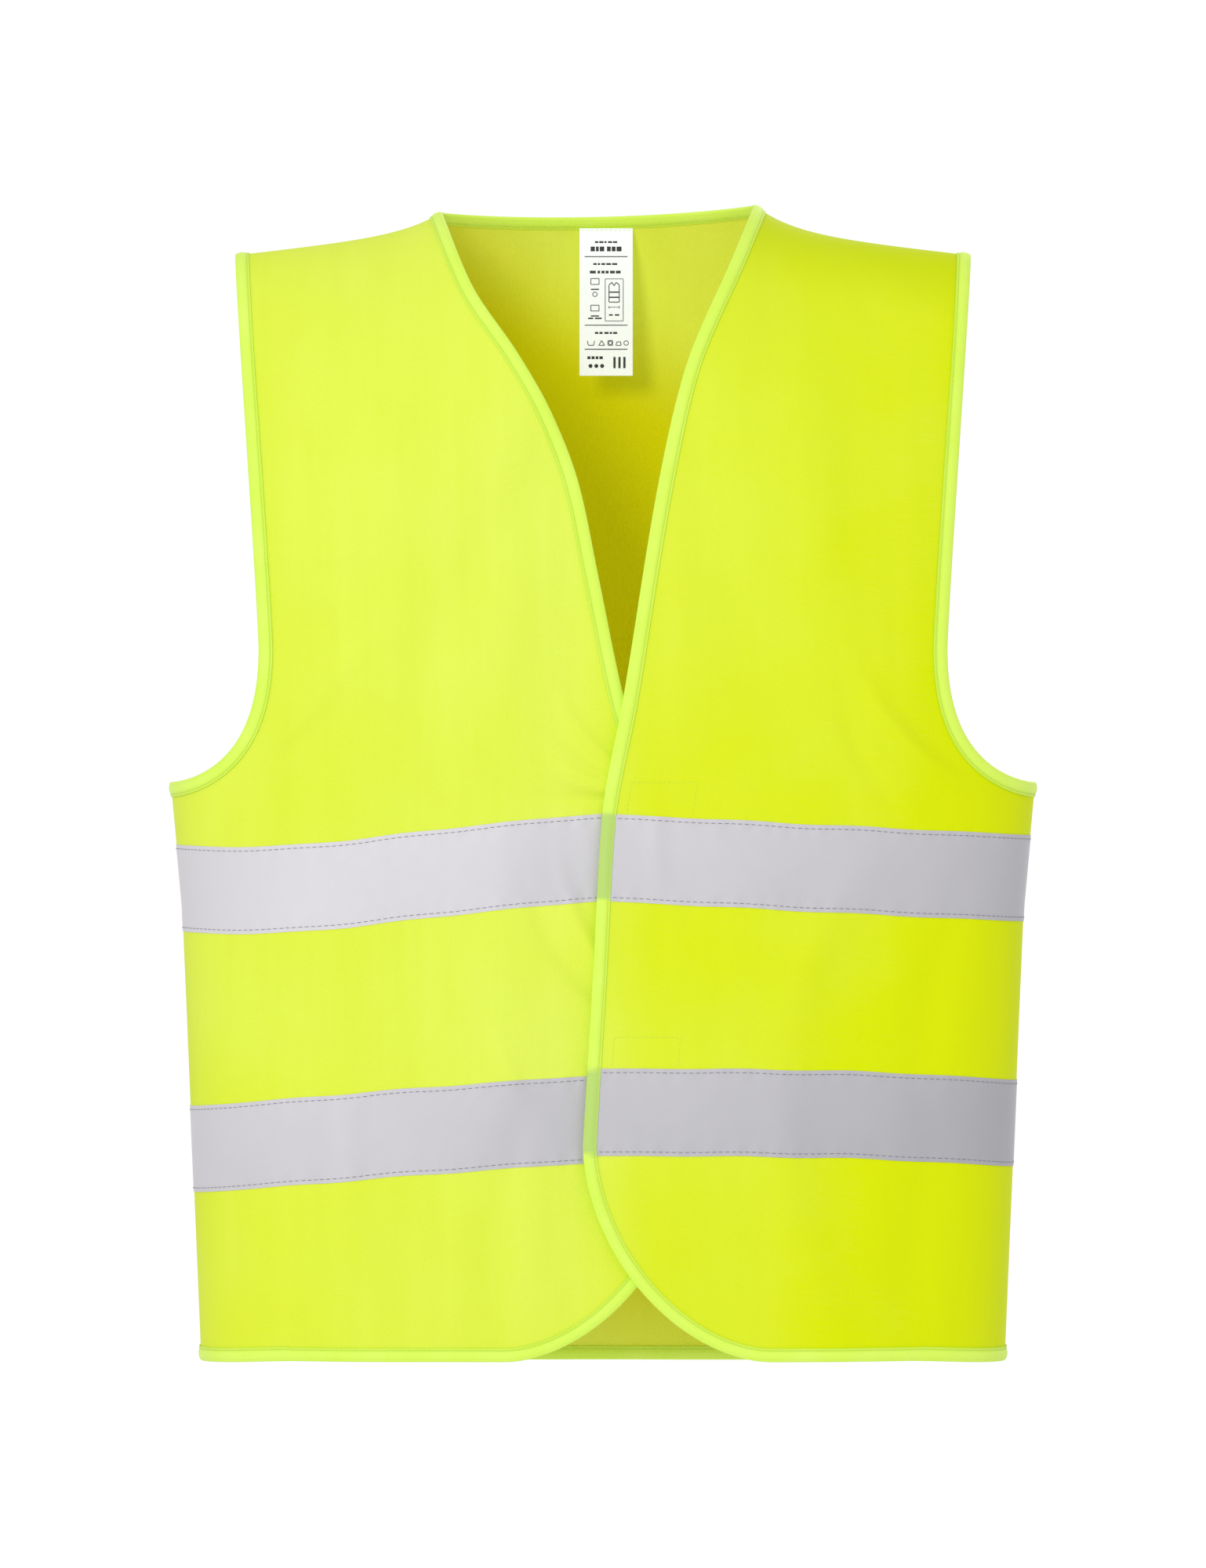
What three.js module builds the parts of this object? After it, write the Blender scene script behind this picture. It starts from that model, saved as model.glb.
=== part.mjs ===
// High visibility vest in its worn shape: cloth panels, edge bindings, reflective tapes,
// hook-and-loop patches, overlocked seams and a hanging size label.
//
// Millimetres, +Z up, the wearer faces -Y and the wearer's left is +X. Heights in the source are
// measured up from the hem at the side seams. The finished group is lowered by the neck height,
// so its origin lies midway between the two neck points, where the vest hangs on its wearer.
import * as THREE from "three";

// --- Overall form ----------------------------------------------------------------------------
const neckHeight = 665; // side hem up to the neck points
const shoulderDrop = 26.6; // neck point down to the shoulder tip
const underarmHeight = 332; // side hem up to the bottom of the armhole
const chestHalfWidth = 250;
const hemHalfWidth = 232.5;
const frontDepth = 100; // side seam out to the front at the centre
const backDepth = 95;
const sectionSquareness = 3; // 2 is an ellipse, higher is boxier
const shoulderRound = 175; // height over which front and back curve in to the shoulder line
const shoulderFullness = 0.6; // lower is a blunter shoulder
const springHeight = 262; // above this the sides open faster towards the underarm
const springShare = 0.63; // share of the side's widening reached there

// --- Neck, shoulder and armhole outlines -----------------------------------------------------
const neckHalfWidth = 91;
const leftNeckX = 88.5;
const rightNeckX = 94.5;
const collarRise = 32; // how far the closed form would rise above the neck points at the centre
const backNeckDip = 3.2; // the back neck edge hangs this far below the neck points
const shoulderTipX = 212;
const neckFlare = 13; // height of the upswept end of the shoulder line at the neck
const neckFlareLength = 22;
const armholeInsetX = 196.5; // narrowest half width across the chest
const armholeCurveHeight = 78; // the rounded bottom of the armhole
const armholeRoundness = 0.6;
const armholeTuckIn = 2.1;

// --- Front edges -----------------------------------------------------------------------------
const cornerWidth = 106; // rounded bottom corner of each front
const cornerHeight = 123;
const cornerRoundness = 1.8;
const frontHemRise = 2; // front hem above the side hem
const backHemDrop = 4.5; // back hem below the side hem
const hemSettleWidth = 60; // each hem leaves the side hem over this width
const foldTopX = 50; // the fold line on which each front turns back, at the neckline
const foldTopDrop = 91; // neck point down to that place
const foldHemX = 150;
const flapTopDrop = 125; // neck point down to the top of the turning part
const foldGap = 1;
const neckReturn = 8; // above the flap the panel regains the neckline over this height

// --- Cloth, binding, tape and patches --------------------------------------------------------
const clothThickness = 0.6;
const seamGap = 1;
const layerGap = 0.3;
const bindingWidth = 9;
const bindingThickness = 0.5;
const bindingClearance = 0.9; // cloth face to the inside of the folded binding
const tapeWidth = 50;
const tapeThickness = 0.35;
const edgeMargin = 2; // bare cloth between a binding and what is laid beside it
const loopPatchWidth = 42;
const loopPatchHeight = 70;
const hookPatchWidth = 20;
const hookPatchHeight = 50;
const patchThickness = 0.8;
const closureRecess = 5.5; // the under front lies this far behind the over front
const recessStartX = -62; // where it begins to step back
const recessLength = 50;
const seamThickness = 0.5;
const labelWidth = 31;
const labelLength = 86;
const labelThickness = 0.5;
const labelX = 1.8;
const labelDrop = 8.8; // neck height down to the label's top edge
const labelClearance = 4;

// Tape heights: the top edge of each tape at the centre front, the side seam and the centre back.
const tapes = {
  upper: {
    left: { front: 315, side: 302.5, bow: 1, sag: 0 },
    right: { front: 315, side: 297, bow: 1, sag: 5 },
    back: 306,
  },
  lower: {
    left: { front: 169, side: 161, bow: 3, sag: 0 },
    right: { front: 165, side: 146, bow: 1.2, sag: 0 },
    back: 160,
  },
};

const tipHeight = neckHeight - shoulderDrop;
const foldTopHeight = neckHeight - foldTopDrop;
const flapTopHeight = neckHeight - flapTopDrop;
const clothFace = clothThickness / 2;
const overlayBase = clothFace + layerGap;
const bindingInner = clothFace + bindingClearance;

const clamp = (value, low, high) => Math.min(high, Math.max(low, value));
const mix = (a, b, t) => a + (b - a) * t;
const smooth = (t) => t * t * (3 - 2 * t);

// --- The form that every piece lies on -------------------------------------------------------
const leftFront = { toward: -1, depth: frontDepth, recess: 0 };
const rightFront = { toward: -1, depth: frontDepth, recess: closureRecess };
const back = { toward: 1, depth: backDepth, recess: 0 };

function halfWidthAt(h) {
  const springHalfWidth = mix(hemHalfWidth, chestHalfWidth, springShare);
  if (h < springHeight) {
    return mix(hemHalfWidth, springHalfWidth, Math.max(0, h) / springHeight);
  }
  const above = clamp((h - springHeight) / (underarmHeight - springHeight), 0, 1);
  return mix(springHalfWidth, chestHalfWidth, above);
}

// The shoulder line, and between the neck points the line where the closed form would meet.
function topLine(x) {
  const out = Math.abs(x);
  if (out < neckHalfWidth) return neckHeight + collarRise * (1 - (out / neckHalfWidth) ** 2);
  const slope = (shoulderDrop - neckFlare) / (shoulderTipX - neckHalfWidth);
  const flare = neckFlare * Math.exp(-(out - neckHalfWidth) / neckFlareLength);
  return tipHeight + slope * (shoulderTipX - out) + flare;
}

// The under front steps back behind the over front near the centre.
function recessAt(face, x) {
  return face.recess * smooth(clamp((x - recessStartX) / recessLength, 0, 1));
}

function bulgeAt(face, x, h) {
  const across = Math.min(1, Math.abs(x) / halfWidthAt(h));
  const below = clamp((topLine(x) - h) / shoulderRound, 0, 1);
  const section = (1 - across ** sectionSquareness) ** (1 / sectionSquareness);
  const profile = (1 - (1 - below) ** 2) ** shoulderFullness;
  return face.depth * section * profile - recessAt(face, x);
}

// A place on the form: its point and the direction out of the vest.
function place(face, x, h) {
  const bulge = Math.max(seamGap / 2, bulgeAt(face, x, h));
  const step = 0.02;
  const limit = halfWidthAt(h) * 0.9995;
  const safeX = clamp(x, -limit, limit);
  const safeH = Math.min(h, topLine(safeX) - 0.06);
  const alongX = (bulgeAt(face, safeX + step, safeH) - bulgeAt(face, safeX - step, safeH)) / (2 * step);
  const alongH = (bulgeAt(face, safeX, safeH + step) - bulgeAt(face, safeX, safeH - step)) / (2 * step);
  return {
    face, x, h,
    point: new THREE.Vector3(x, face.toward * bulge, h),
    normal: new THREE.Vector3(-alongX, face.toward, -alongH).normalize(),
  };
}

// The position round the section as an angle, and back to x.
function turnOf(x, h) {
  const across = clamp(x / halfWidthAt(h), -1, 1);
  return Math.atan2(across, (1 - Math.abs(across) ** sectionSquareness) ** (1 / sectionSquareness));
}

function xOfTurn(turn, h) {
  const sine = Math.sin(turn);
  const sum = Math.abs(sine) ** sectionSquareness + Math.abs(Math.cos(turn)) ** sectionSquareness;
  return halfWidthAt(h) * sine / sum ** (1 / sectionSquareness);
}

// The way down from the shoulder line as an angle that runs on below the curved part.
function fallOf(x, h) {
  const below = (topLine(x) - h) / shoulderRound;
  return below < 1 ? Math.acos(clamp(1 - below, 0, 1)) : Math.PI / 2 + below - 1;
}

function placeAt(face, turn, fall) {
  const drop = shoulderRound * (fall < Math.PI / 2 ? 1 - Math.cos(fall) : 1 + fall - Math.PI / 2);
  let h = underarmHeight;
  let x = 0;
  for (let pass = 0; pass < 12; pass++) {
    x = xOfTurn(turn, h);
    h = topLine(x) - drop;
  }
  return place(face, x, h);
}

// Walks over the cloth from a place, in a direction, for a distance.
function walk(start, direction, distance) {
  const steps = 4;
  const nudge = 1e-3;
  const turnNudge = 0.02;
  let turn = turnOf(start.x, start.h);
  let fall = Math.max(nudge, fallOf(start.x, start.h));
  let here = placeAt(start.face, turn, fall);
  for (let step = 0; step < steps; step++) {
    const flat = direction.clone().addScaledVector(here.normal, -direction.dot(here.normal)).normalize();
    const inward = -Math.sign(turn || 1) * turnNudge;
    const round = placeAt(start.face, turn + inward, fall).point.sub(here.point).divideScalar(inward);
    const down = placeAt(start.face, turn, fall + nudge).point.sub(here.point).divideScalar(nudge);
    const [rr, rd, dd] = [round.dot(round), round.dot(down), down.dot(down)];
    const [rf, df] = [round.dot(flat), down.dot(flat)];
    const scale = distance / steps / (rr * dd - rd * rd);
    turn += (rf * dd - df * rd) * scale;
    fall = Math.max(0, fall + (df * rr - rf * rd) * scale);
    here = placeAt(start.face, turn, fall);
  }
  return here;
}

// --- Outlines --------------------------------------------------------------------------------
// A smooth line through [height, x] pairs that never overshoots between two of them.
function lineThrough(pairs) {
  const slopes = pairs.slice(1).map(([h, x], i) => (x - pairs[i][1]) / (h - pairs[i][0]));
  const tangents = pairs.map((pair, i) => {
    if (i === 0) return slopes[0];
    if (i === slopes.length) return slopes[i - 1];
    const product = slopes[i - 1] * slopes[i];
    return product <= 0 ? 0 : (2 * product) / (slopes[i - 1] + slopes[i]);
  });
  return (h) => {
    const last = pairs.length - 2;
    const found = pairs.findIndex(([height]) => height > h) - 1;
    const span = h >= pairs[last + 1][0] ? last : clamp(found, 0, last);
    const length = pairs[span + 1][0] - pairs[span][0];
    const t = clamp((h - pairs[span][0]) / length, 0, 1);
    const rise = smooth(t);
    const bendIn = t * (1 - t) ** 2 * length * tangents[span];
    const bendOut = t * t * (1 - t) * length * tangents[span + 1];
    return mix(pairs[span][1], pairs[span + 1][1], rise) + bendIn - bendOut;
  };
}

const cornerTop = frontHemRise + cornerHeight;
const share = (portion) => portion * neckHeight;

// Each front edge from the top of its rounded corner to the neck point.
const leftEdgeLine = lineThrough([
  [cornerTop, -10.5], [share(0.335), -4.6], [share(0.47), 0.5], [share(0.573), 12.7],
  [share(0.764), 33.6], [share(0.856), 48], [share(0.956), 76], [topLine(leftNeckX), leftNeckX],
]);
const rightEdgeLine = lineThrough([
  [cornerTop, 50], [share(0.3), 44], [share(0.437), 38], [share(0.474), 33], [share(0.567), 12],
  [share(0.677), -3.6], [share(0.758), -15], [share(0.82), -31], [share(0.868), -49],
  [share(0.929), -76], [topLine(rightNeckX), -rightNeckX],
]);

function frontEdge(line, outward) {
  return (h) => {
    if (h >= cornerTop) return line(h);
    const down = clamp((cornerTop - h) / cornerHeight, 0, 1);
    const reach = (1 - down ** cornerRoundness) ** (1 / cornerRoundness);
    return line(cornerTop) + outward * cornerWidth * (1 - reach);
  };
}

function armholeX(h) {
  const low = clamp((h - underarmHeight) / armholeCurveHeight, 0, 1);
  const straight = tipHeight - underarmHeight - armholeCurveHeight;
  const high = clamp((h - underarmHeight - armholeCurveHeight) / straight, 0, 1);
  const scoop = (chestHalfWidth - armholeInsetX) * (1 - low ** armholeRoundness) ** armholeTuckIn;
  return armholeInsetX + scoop + (shoulderTipX - armholeInsetX) * high ** 1.15;
}

const armholeStart = underarmHeight + 0.035 * armholeCurveHeight; // above the part that rounds the side

// The height of the armhole's bottom curve at a distance out from the centre.
function armholeBottom(out) {
  let [low, high] = [underarmHeight, armholeStart];
  for (let pass = 0; pass < 30; pass++) {
    const middle = (low + high) / 2;
    [low, high] = armholeX(middle) > out ? [middle, high] : [low, middle];
  }
  return low;
}

const foldX = (h) => mix(foldHemX, foldTopX, h / foldTopHeight);

// --- Rows: lines across a panel, level below the armhole and following the shoulder above it -
const armholeParts = [0.06, 0.1, 0.15, 0.22, 0.34, 0.52, 0.76, 1];
const armholeRows = armholeParts.map((part) => underarmHeight + armholeCurveHeight * part);
const bodyRows = [0.25, 0.5, 0.75, 1].map((part) => part * springHeight);
const chestTop = underarmHeight + armholeCurveHeight;
const shoulderRows = [42, 28, 17, 9, 4, 1.4, 0].map((below) => tipHeight - below);

function rowsBetween(low, high, count) {
  return Array.from({ length: count }, (_, i) => mix(low, high, (i + 1) / (count + 1)));
}

function rowHeight(level, x, top = topLine) {
  const follow = smooth(clamp((level - chestTop) / (tipHeight - chestTop), 0, 1));
  return level + follow * (top(x) - tipHeight);
}

function crossing(level, start, xAt, top = topLine) {
  let x = start;
  for (let pass = 0; pass < 40; pass++) x = xAt(rowHeight(level, x, top));
  return x;
}

// Places along a row, evenly round the form, with one a binding's reach in from each end.
const bindingReach = bindingWidth + edgeMargin;

function rowPlaces(face, start, end, count, heightAt) {
  const atTurn = (turn) => {
    let x = xOfTurn(turn, underarmHeight);
    for (let pass = 0; pass < 12; pass++) x = xOfTurn(turn, heightAt(x));
    return place(face, x, heightAt(x));
  };
  const probe = 0.01 * Math.sign(end - start);
  const reachIn = (turn, step) => {
    const span = atTurn(turn + step).point.distanceTo(atTurn(turn).point);
    return step * Math.min(bindingReach / span, Math.abs((end - start) / step) / 4);
  };
  const inner = start + reachIn(start, probe);
  const outer = end + reachIn(end, -probe);
  const between = Array.from({ length: count - 1 }, (_, i) => atTurn(mix(inner, outer, i / (count - 2))));
  return [atTurn(start), ...between, atTurn(end)];
}

// --- Solids ----------------------------------------------------------------------------------
function closedSolid(vertices, faces) {
  let volume = 0;
  for (const [a, b, c] of faces) volume += vertices[a].dot(vertices[b].clone().cross(vertices[c]));
  const geometry = new THREE.BufferGeometry();
  const numbers = vertices.flatMap((v) => [v.x, v.y, v.z]);
  geometry.setAttribute("position", new THREE.Float32BufferAttribute(numbers, 3));
  geometry.setIndex(faces.flatMap(([a, b, c]) => (volume < 0 ? [a, c, b] : [a, b, c])));
  return geometry;
}

// A sheet laid on the form between two heights above it. A row may leave out places at its ends.
function sheetSolid(rows, low, high) {
  const width = rows[0].length;
  const spots = new Map();
  rows.forEach((row, i) => row.forEach((spot, j) => spot && spots.set(i * width + j, spots.size)));
  const placed = rows.flat().filter(Boolean);
  const lifted = (lift) => placed.map((spot) => spot.point.clone().addScaledVector(spot.normal, lift));
  const faces = [];
  const open = new Map();
  for (let i = 0; i + 1 < rows.length; i++) {
    for (let j = 0; j + 1 < width; j++) {
      const corners = [i * width + j, i * width + j + 1, (i + 1) * width + j + 1, (i + 1) * width + j];
      if (!corners.every((corner) => spots.has(corner))) continue;
      const [a, b, c, d] = corners.map((corner) => spots.get(corner));
      const under = placed.length;
      faces.push([a + under, b + under, c + under], [a + under, c + under, d + under], [a, c, b], [a, d, c]);
      for (const [from, to] of [[a, b], [b, c], [c, d], [d, a]]) {
        if (!open.delete(`${to},${from}`)) open.set(`${from},${to}`, [from, to]);
      }
    }
  }
  const under = placed.length;
  for (const [from, to] of open.values()) {
    faces.push([from, to, to + under], [from, to + under, from + under]);
  }
  return closedSolid([...lifted(low), ...lifted(high)], faces);
}

// A band carried through a list of stations. Each station's ring of points runs along one face
// of the band and back along the other, so points i and last - i lie opposite each other.
function bandSolid(rings, closed = false) {
  const size = rings[0].length;
  const vertices = rings.flat();
  const faces = [];
  for (let k = 0; k < (closed ? rings.length : rings.length - 1); k++) {
    const next = (k + 1) % rings.length;
    for (let i = 0; i < size; i++) {
      const j = (i + 1) % size;
      const [a, b, c, d] = [k * size + i, k * size + j, next * size + j, next * size + i];
      faces.push([a, b, c], [a, c, d]);
    }
  }
  const last = (rings.length - 1) * size;
  for (let i = 0; !closed && i < size / 2 - 1; i++) {
    const [a, b, c, d] = [i, i + 1, size - 2 - i, size - 1 - i];
    faces.push([a, c, b], [a, d, c], [last + a, last + b, last + c], [last + a, last + c, last + d]);
  }
  return closedSolid(vertices, faces);
}

// Binding: a strip folded round a cloth edge. Each station lists places from its foot to the edge.
function bindingSolid(stations, closed = false) {
  const outer = bindingInner + bindingThickness;
  const rings = stations.map((spots) => {
    const edge = spots.at(-1);
    const out = edge.point.clone().sub(spots.at(-2).point);
    out.addScaledVector(edge.normal, -out.dot(edge.normal)).normalize();
    const side = (lift, reach) => spots.map((spot) => {
      const point = spot.point.clone().addScaledVector(spot.normal, lift);
      return spot === edge ? point.addScaledVector(out, reach) : point;
    });
    const reach = layerGap + bindingThickness;
    const outside = [...side(outer, reach), ...side(-outer, reach).reverse()];
    const inside = [...side(bindingInner, layerGap), ...side(-bindingInner, layerGap).reverse()];
    return [...outside, ...inside.reverse()];
  });
  return bandSolid(rings, closed);
}

// Stations along an edge: the foot of the binding lies square to the edge, into the cloth.
function stationsAlong(edges, intoCloth, { closed = false, middles = 0 } = {}) {
  const count = edges.length;
  return edges.map((edge, k) => {
    const before = edges[closed ? (k + count - 1) % count : Math.max(0, k - 1)];
    const after = edges[closed ? (k + 1) % count : Math.min(count - 1, k + 1)];
    const along = after.point.clone().sub(before.point).normalize();
    const square = edge.normal.clone().cross(along).normalize();
    if (square.dot(intoCloth(edge)) < 0) square.negate();
    const steps = middles + 1;
    const reachOf = (i) => (bindingWidth * (steps - i)) / steps;
    const inward = Array.from({ length: steps }, (_, i) => walk(edge, square, reachOf(i)));
    return [...inward, edge];
  });
}

// Overlocked seam: a narrow strip inside the vest that bridges two panel edges.
function seamSolid(bands) {
  const lowered = (spot, lift) => spot.point.clone().addScaledVector(spot.normal, -lift);
  return bandSolid(bands.map((spots) => [
    ...spots.map((spot) => lowered(spot, overlayBase)),
    ...spots.map((spot) => lowered(spot, overlayBase + seamThickness)).reverse(),
  ]));
}

// --- Materials -------------------------------------------------------------------------------
const cloth = new THREE.MeshStandardMaterial({ color: "#d8f226", roughness: 0.8, metalness: 0 });
const binding = new THREE.MeshStandardMaterial({ color: "#c8f56a", roughness: 0.7, metalness: 0 });
const reflective = new THREE.MeshStandardMaterial({ color: "#cbc9ce", roughness: 0.45, metalness: 0.2 });
const hookAndLoop = new THREE.MeshStandardMaterial({ color: "#cfe83a", roughness: 0.95, metalness: 0 });
const overlock = new THREE.MeshStandardMaterial({ color: "#d2ee4a", roughness: 0.9, metalness: 0 });
const labelSatin = new THREE.MeshStandardMaterial({ color: "#f7f7f7", roughness: 0.6, metalness: 0 });

const vest = new THREE.Group();
vest.position.z = -neckHeight;

function add(name, geometry, material) {
  const mesh = new THREE.Mesh(geometry, material);
  mesh.name = name;
  vest.add(mesh);
}

// --- Fronts ----------------------------------------------------------------------------------
const sideColumns = 8; // from the front fold or neckline to the line below the armhole
const underarmColumns = 5; // from there to the side seam
const flapColumns = 10;

const hemOf = (face, x) => {
  const portion = smooth(clamp((halfWidthAt(0) - Math.abs(x)) / hemSettleWidth, 0, 1));
  return portion * (face === back ? -backHemDrop : frontHemRise);
};

// Heights above the lowest rows are shifted so that the bottom row lies on the hem.
const settle = (face, x, h) => h + hemOf(face, x) * clamp(1 - h / cornerTop, 0, 1);

// The inner boundary of a side panel: the fold line, and the neckline above the flap.
function innerLimit(part, level) {
  const xAt = (h) => {
    const fold = part.side * (foldX(Math.min(h, flapTopHeight)) + foldGap / 2);
    return mix(fold, part.edge(h), clamp((h - flapTopHeight) / neckReturn, 0, 1));
  };
  return crossing(level, part.side * foldX(level), xAt);
}

function outerTurn(side, level) {
  if (level <= armholeStart) return side * underarmTurn;
  const x = crossing(level, side * armholeInsetX, (h) => side * armholeX(h));
  return turnOf(x, level);
}

// The places of a row between the line below the armhole and the side seam.
function underarmPlaces(face, side, level, heightAt) {
  if (level > armholeStart) return Array(underarmColumns).fill(null);
  return Array.from({ length: underarmColumns }, (_, i) => {
    const turn = side * mix(underarmTurn, Math.PI / 2, (i + 1) / underarmColumns);
    const x = xOfTurn(turn, level);
    const h = level === armholeStart ? armholeBottom(Math.abs(x)) : heightAt(x);
    return place(face, xOfTurn(turn, h), h);
  });
}

// The level whose row passes through a given height at a given x.
function levelThrough(x, height) {
  let [low, high] = [chestTop, tipHeight];
  for (let pass = 0; pass < 40; pass++) {
    const middle = (low + high) / 2;
    [low, high] = rowHeight(middle, x) < height ? [middle, high] : [low, middle];
  }
  return low;
}

const neckTurnHeight = flapTopHeight + neckReturn;
const foldTopLevel = levelThrough(foldX(flapTopHeight), flapTopHeight);
const neckTurnLevel = levelThrough(foldX(flapTopHeight) - bindingReach, neckTurnHeight);
const lowerLevels = [0, ...bodyRows, armholeStart, ...armholeRows, ...rowsBetween(chestTop, foldTopLevel, 2)];
const upperLevels = [neckTurnLevel, ...rowsBetween(neckTurnLevel, shoulderRows[0], 3), ...shoulderRows];
const panelLevels = [...lowerLevels, foldTopLevel, ...upperLevels];
const underarmRow = panelLevels.indexOf(armholeStart);
const underarmTurn = turnOf(armholeX(armholeStart), armholeStart);

const turnAt = (x, heightAt) => turnOf(x, heightAt(x));

function sideRow(part, level, heightAt) {
  const { face, side } = part;
  return [
    ...rowPlaces(face, turnAt(innerLimit(part, level), heightAt), outerTurn(side, level),
      sideColumns, heightAt),
    ...underarmPlaces(face, side, level, heightAt),
  ];
}

function flapRow(part, level, heightAt) {
  const fold = part.side * (foldX(level) - foldGap / 2);
  const start = turnAt(part.edge(level), heightAt);
  return rowPlaces(part.face, start, turnAt(fold, heightAt), flapColumns, heightAt);
}

const cornerSteps = [0, 12, 24, 36, 48, 61, 75].map(THREE.MathUtils.degToRad);
const flapLevels = [
  ...cornerSteps.map((step) => cornerHeight * (1 - Math.cos(step)) + frontHemRise),
  cornerTop, ...rowsBetween(cornerTop, flapTopHeight, 9), flapTopHeight - foldGap,
];

function tapeTop(name, part, x) {
  const { front, side, bow, sag } = tapes[name][part.hand];
  const across = clamp((part.side * x) / halfWidthAt(side), 0, 1);
  return mix(front, side, across ** bow) - sag * Math.sin(Math.PI * across ** 2);
}

const tapeShares = [0, 0.5, 1]; // top edge, middle and bottom edge of a tape
const tapeSolid = (rows) => sheetSolid(rows, overlayBase, overlayBase + tapeThickness);
const up = () => new THREE.Vector3(0, 0, 1);

function addPatch(name, part, startAt, width, height, lift, tapeName) {
  const bottom = tapes[tapeName].left.front - tapeWidth;
  const rows = [height, height / 2, 0].map((above) => {
    const h = bottom + above;
    const start = startAt(h);
    return [0, 0.25, 0.5, 0.75, 1].map((across) => place(part.face, start + width * across, h));
  });
  add(name, sheetSolid(rows, lift, lift + patchThickness), hookAndLoop);
}

function addFront(part) {
  const { hand, side, face } = part;
  const rows = panelLevels.map((level) => sideRow(part, level, (x) => settle(face, x, rowHeight(level, x))));
  const flap = flapLevels.map((level) => flapRow(part, level, () => level));
  add(`${hand}_front_panel`, sheetSolid(rows, -clothFace, clothFace), cloth);
  add(`${hand}_front_flap`, sheetSolid(flap, -clothFace, clothFace), cloth);

  add(`${hand}_hem_binding`, bindingSolid(stationsAlong(rows[0], up)), binding);
  const flapOutline = [...flap.map((row) => row[0]).reverse(), ...flap[0].slice(1)];
  const intoFlap = (edge) => new THREE.Vector3(side, 0, edge.h < cornerTop ? 1 : 0);
  add(`${hand}_front_edge_binding`, bindingSolid(stationsAlong(flapOutline, intoFlap)), binding);
  const neckline = rows.slice(panelLevels.indexOf(neckTurnLevel)).map((row) => row[0]);
  const intoSide = () => new THREE.Vector3(side, 0, 0);
  add(`${hand}_neckline_binding`, bindingSolid(stationsAlong(neckline, intoSide)), binding);

  for (const name of ["upper", "lower"]) {
    const lines = tapeShares.map((down) => (x) => tapeTop(name, part, x) - tapeWidth * down);
    const middle = tapes[name][hand].front - tapeWidth / 2;
    const sideRows = lines.map((line) => sideRow(part, line(side * foldX(middle)), line));
    const flapRows = lines.map((line) => flapRow(part, line(0), line).slice(1));
    add(`${name}_tape_${hand}_side`, tapeSolid(sideRows), reflective);
    add(`${name}_tape_${hand}_flap`, tapeSolid(flapRows), reflective);
  }
  return rows;
}

const left = { hand: "left", side: 1, face: leftFront, edge: frontEdge(leftEdgeLine, 1) };
const right = { hand: "right", side: -1, face: rightFront, edge: frontEdge(rightEdgeLine, -1) };
const leftRows = addFront(left);
const rightRows = addFront(right);

for (const name of ["upper", "lower"]) {
  const loopStart = (h) => left.edge(h) + bindingReach;
  const hookStart = (h) => right.edge(h) - bindingReach - hookPatchWidth;
  const loopLift = -overlayBase - patchThickness;
  const hookLift = overlayBase + tapeThickness + layerGap;
  addPatch(`${name}_loop_patch`, left, loopStart, loopPatchWidth, loopPatchHeight, loopLift, name);
  addPatch(`${name}_hook_patch`, right, hookStart, hookPatchWidth, hookPatchHeight, hookLift, name);
}

// --- Back ------------------------------------------------------------------------------------
const shoulderColumns = 7;
const neckColumns = 12;
const neckMiddle = (leftNeckX - rightNeckX) / 2;
const neckReachX = (leftNeckX + rightNeckX) / 2;

// The top of the back panel: the shoulder line, and the back neck edge between the neck points.
function backTop(x) {
  const across = clamp((x - neckMiddle) / neckReachX, -1, 1);
  return topLine(x) - (collarRise + backNeckDip) * (1 - across ** 2);
}

function backRow(level, heightAt) {
  const outside = (side, neck) =>
    rowPlaces(back, outerTurn(side, level), turnAt(neck, heightAt), shoulderColumns, heightAt);
  const middle = Array.from({ length: neckColumns - 1 }, (_, i) => {
    const x = neckMiddle + neckReachX * Math.sin(Math.PI * ((i + 1) / neckColumns - 0.5));
    return place(back, x, heightAt(x));
  });
  return [
    ...underarmPlaces(back, -1, level, heightAt).reverse(),
    ...outside(-1, -rightNeckX), ...middle, ...outside(1, leftNeckX).reverse(),
    ...underarmPlaces(back, 1, level, heightAt),
  ];
}

const backHeight = (level) => (x) => settle(back, x, rowHeight(level, x, backTop));
const backRows = panelLevels.map((level) => backRow(level, backHeight(level)));
add("back_panel", sheetSolid(backRows, -clothFace, clothFace), cloth);
add("back_hem_binding", bindingSolid(stationsAlong(backRows[0], up)), binding);
const neckStart = underarmColumns + shoulderColumns;
const backNeckline = backRows.at(-1).slice(neckStart, neckStart + neckColumns + 1);
const downward = () => new THREE.Vector3(0, 0, -1);
add("back_neck_binding", bindingSolid(stationsAlong(backNeckline, downward, { middles: 2 })), binding);

for (const name of ["upper", "lower"]) {
  const { left: leftTape, right: rightTape, back: middle } = tapes[name];
  const topAt = (x) => {
    const side = x > 0 ? leftTape.side : rightTape.side;
    return mix(middle, side, smooth(clamp(Math.abs(x) / halfWidthAt(side), 0, 1)));
  };
  const lines = tapeShares.map((down) => (x) => topAt(x) - tapeWidth * down);
  add(`${name}_tape_back`, tapeSolid(lines.map((line) => backRow(middle, line))), reflective);
}

// --- Seams and armhole bindings --------------------------------------------------------------
const seamShoulderRows = 3;

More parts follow.
